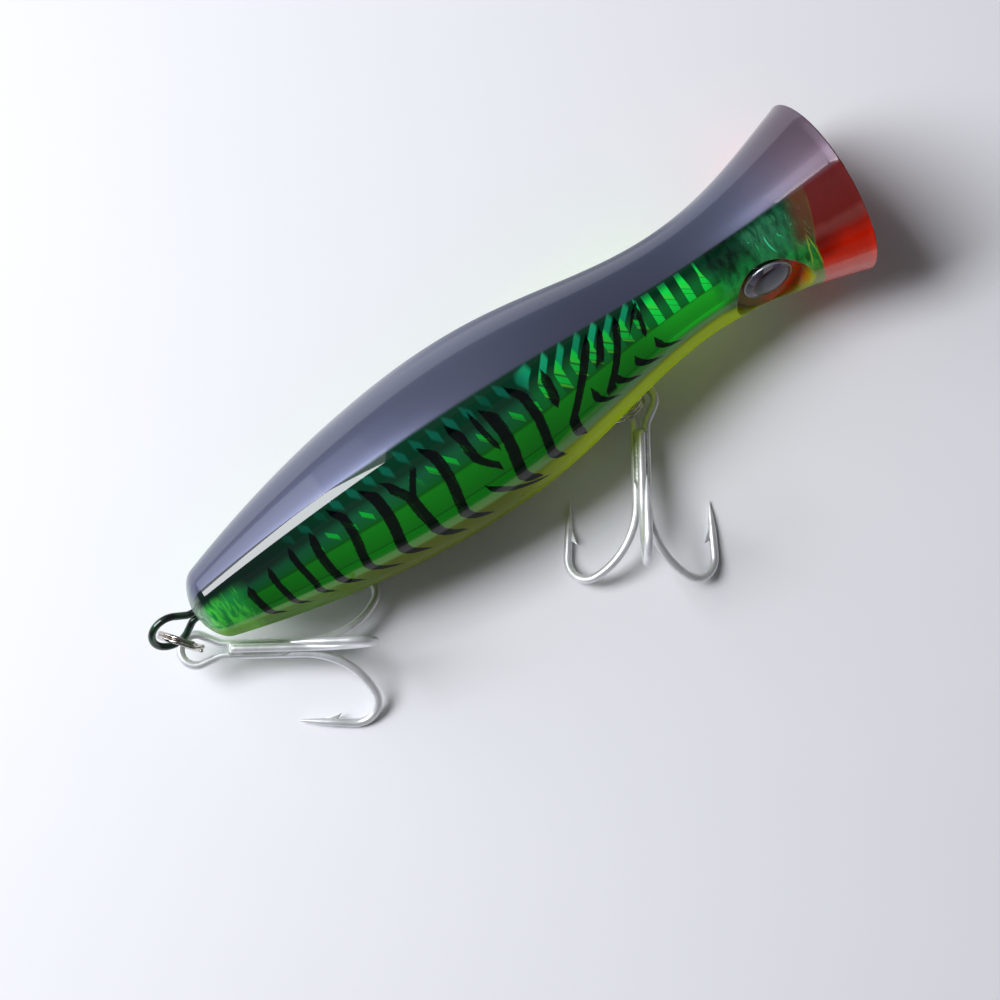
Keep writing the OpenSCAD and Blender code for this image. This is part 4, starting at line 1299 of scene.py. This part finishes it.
class POPPER_OT_stage(bpy.types.Operator):
    """Makes the pale floor, the surroundings, two softboxes and the camera"""

    bl_idname = "popper.stage"
    bl_label = "Stage"

    def execute(self, context):
        scene = context.scene
        settings = scene.popper_stage
        floor_finish = Finish("floor")
        grain = floor_finish.noise(floor_finish.place(), 40.0, 2.0)
        pale = floor_finish.lighten(settings.floor, 0.99 + grain * 0.02)
        floor_finish.surface(Base_Color=pale, Roughness=0.7)
        far = 3.0
        mesh = bpy.data.meshes.new("floor")
        mesh.from_pydata([(-far, -far, 0), (far, -far, 0), (far, far, 0), (-far, far, 0)],
                         [], [(0, 1, 2, 3)])
        mesh.materials.append(floor_finish.data)
        floor = bpy.data.objects.new("floor", mesh)
        scene.collection.objects.link(floor)

        sky = Finish("surroundings", "worlds")
        shader = sky.node("ShaderNodeBackground", None, (0.95, 0.965, 1.0, 1.0), settings.world)
        sky.node_output("ShaderNodeOutputWorld", shader)
        scene.world = sky.data

        # a large softbox beyond the left flank, and a strip above the tail, seen in the gloss
        self.softbox("softbox", (-0.36, 0.50, 0.475), (1, 0, 0), (0.48, 0.85),
                     settings.soft, (0, 0, 0.02))
        self.softbox("strip_softbox", (-0.310, 0.255, 0.500), (0.818, 0.128, 0.561),
                     (0.42, 0.22), settings.strip, (-0.03, 0.005, 0.02))

        # the camera looks at a point on the floor near the middle of the lure, tipped a little
        # from straight down, and is turned so that the mouth is up and right
        aim = Matrix.Translation((-0.0059921, 0.0023104, 0.0))
        tip, heading, away = math.radians(7.0), math.radians(-34.476), 0.390
        data = bpy.data.cameras.new("camera")
        data.lens, data.sensor_width = settings.lens, 36.0
        data.clip_start, data.clip_end = 0.01, 20.0
        camera = bpy.data.objects.new("camera", data)
        turn = Matrix.Rotation(heading, 4, "Z") @ Matrix.Rotation(tip, 4, "X")
        camera.matrix_world = aim @ turn @ Matrix.Translation((0.0, 0.0, away))
        scene.collection.objects.link(camera)
        scene.camera = camera
        scene.view_settings.view_transform = "Standard"
        return {"FINISHED"}

    @staticmethod
    def softbox(name, place, along, size, power, target):
        """A rectangular lamp that faces a target, with its long side along a direction."""
        lamp = bpy.data.lights.new(name, "AREA")
        lamp.shape = "RECTANGLE"
        lamp.size, lamp.size_y = size
        lamp.energy = power
        lamp.color = (0.94, 0.955, 1.0)
        facing = (Vector(place) - Vector(target)).normalized()
        along = Vector(along) - facing * facing.dot(Vector(along))
        along.normalize()
        turn = Matrix((along, facing.cross(along), facing)).transposed().to_4x4()
        holder = bpy.data.objects.new(name, lamp)
        holder.matrix_world = Matrix.Translation(place) @ turn
        bpy.context.scene.collection.objects.link(holder)


STEPS = (
    POPPER_OT_shell, POPPER_OT_eyes, POPPER_OT_wire_eyes, POPPER_OT_rings,
    POPPER_OT_trebles, POPPER_OT_inner_parts, POPPER_OT_stage,
)


class POPPER_PT_panel(bpy.types.Panel):
    """Lists the steps and the sizes and colours that they use"""

    bl_idname = "POPPER_PT_panel"
    bl_label = "Surface popper"
    bl_space_type = "VIEW_3D"
    bl_region_type = "UI"
    bl_category = "Popper"

    def draw(self, context):
        for step in STEPS:
            self.layout.operator(step.bl_idname)
        for group in SETTINGS:
            box = self.layout.box()
            settings = getattr(context.scene, group)
            for key in settings.__annotations__:
                box.prop(settings, key)


SETTINGS = {
    "popper_body": PopperBodySizes,
    "popper_eyes": PopperEyeSizes,
    "popper_hardware": PopperHardwareSizes,
    "popper_colours": PopperColours,
    "popper_stage": PopperStageSettings,
}
CLASSES = (*SETTINGS.values(), *STEPS, POPPER_PT_panel)


def register():
    """Registers every class and puts the settings on the scene."""
    for cls in CLASSES:
        bpy.utils.register_class(cls)
    for name, group in SETTINGS.items():
        setattr(bpy.types.Scene, name, PointerProperty(type=group))


def unregister():
    """Takes away what register adds."""
    for name in SETTINGS:
        delattr(bpy.types.Scene, name)
    for cls in reversed(CLASSES):
        bpy.utils.unregister_class(cls)


def main():
    """Builds everything in order."""
    register()
    for step in STEPS:
        group, name = step.bl_idname.split(".")
        getattr(getattr(bpy.ops, group), name)()


if __name__ == "__main__":
    main()
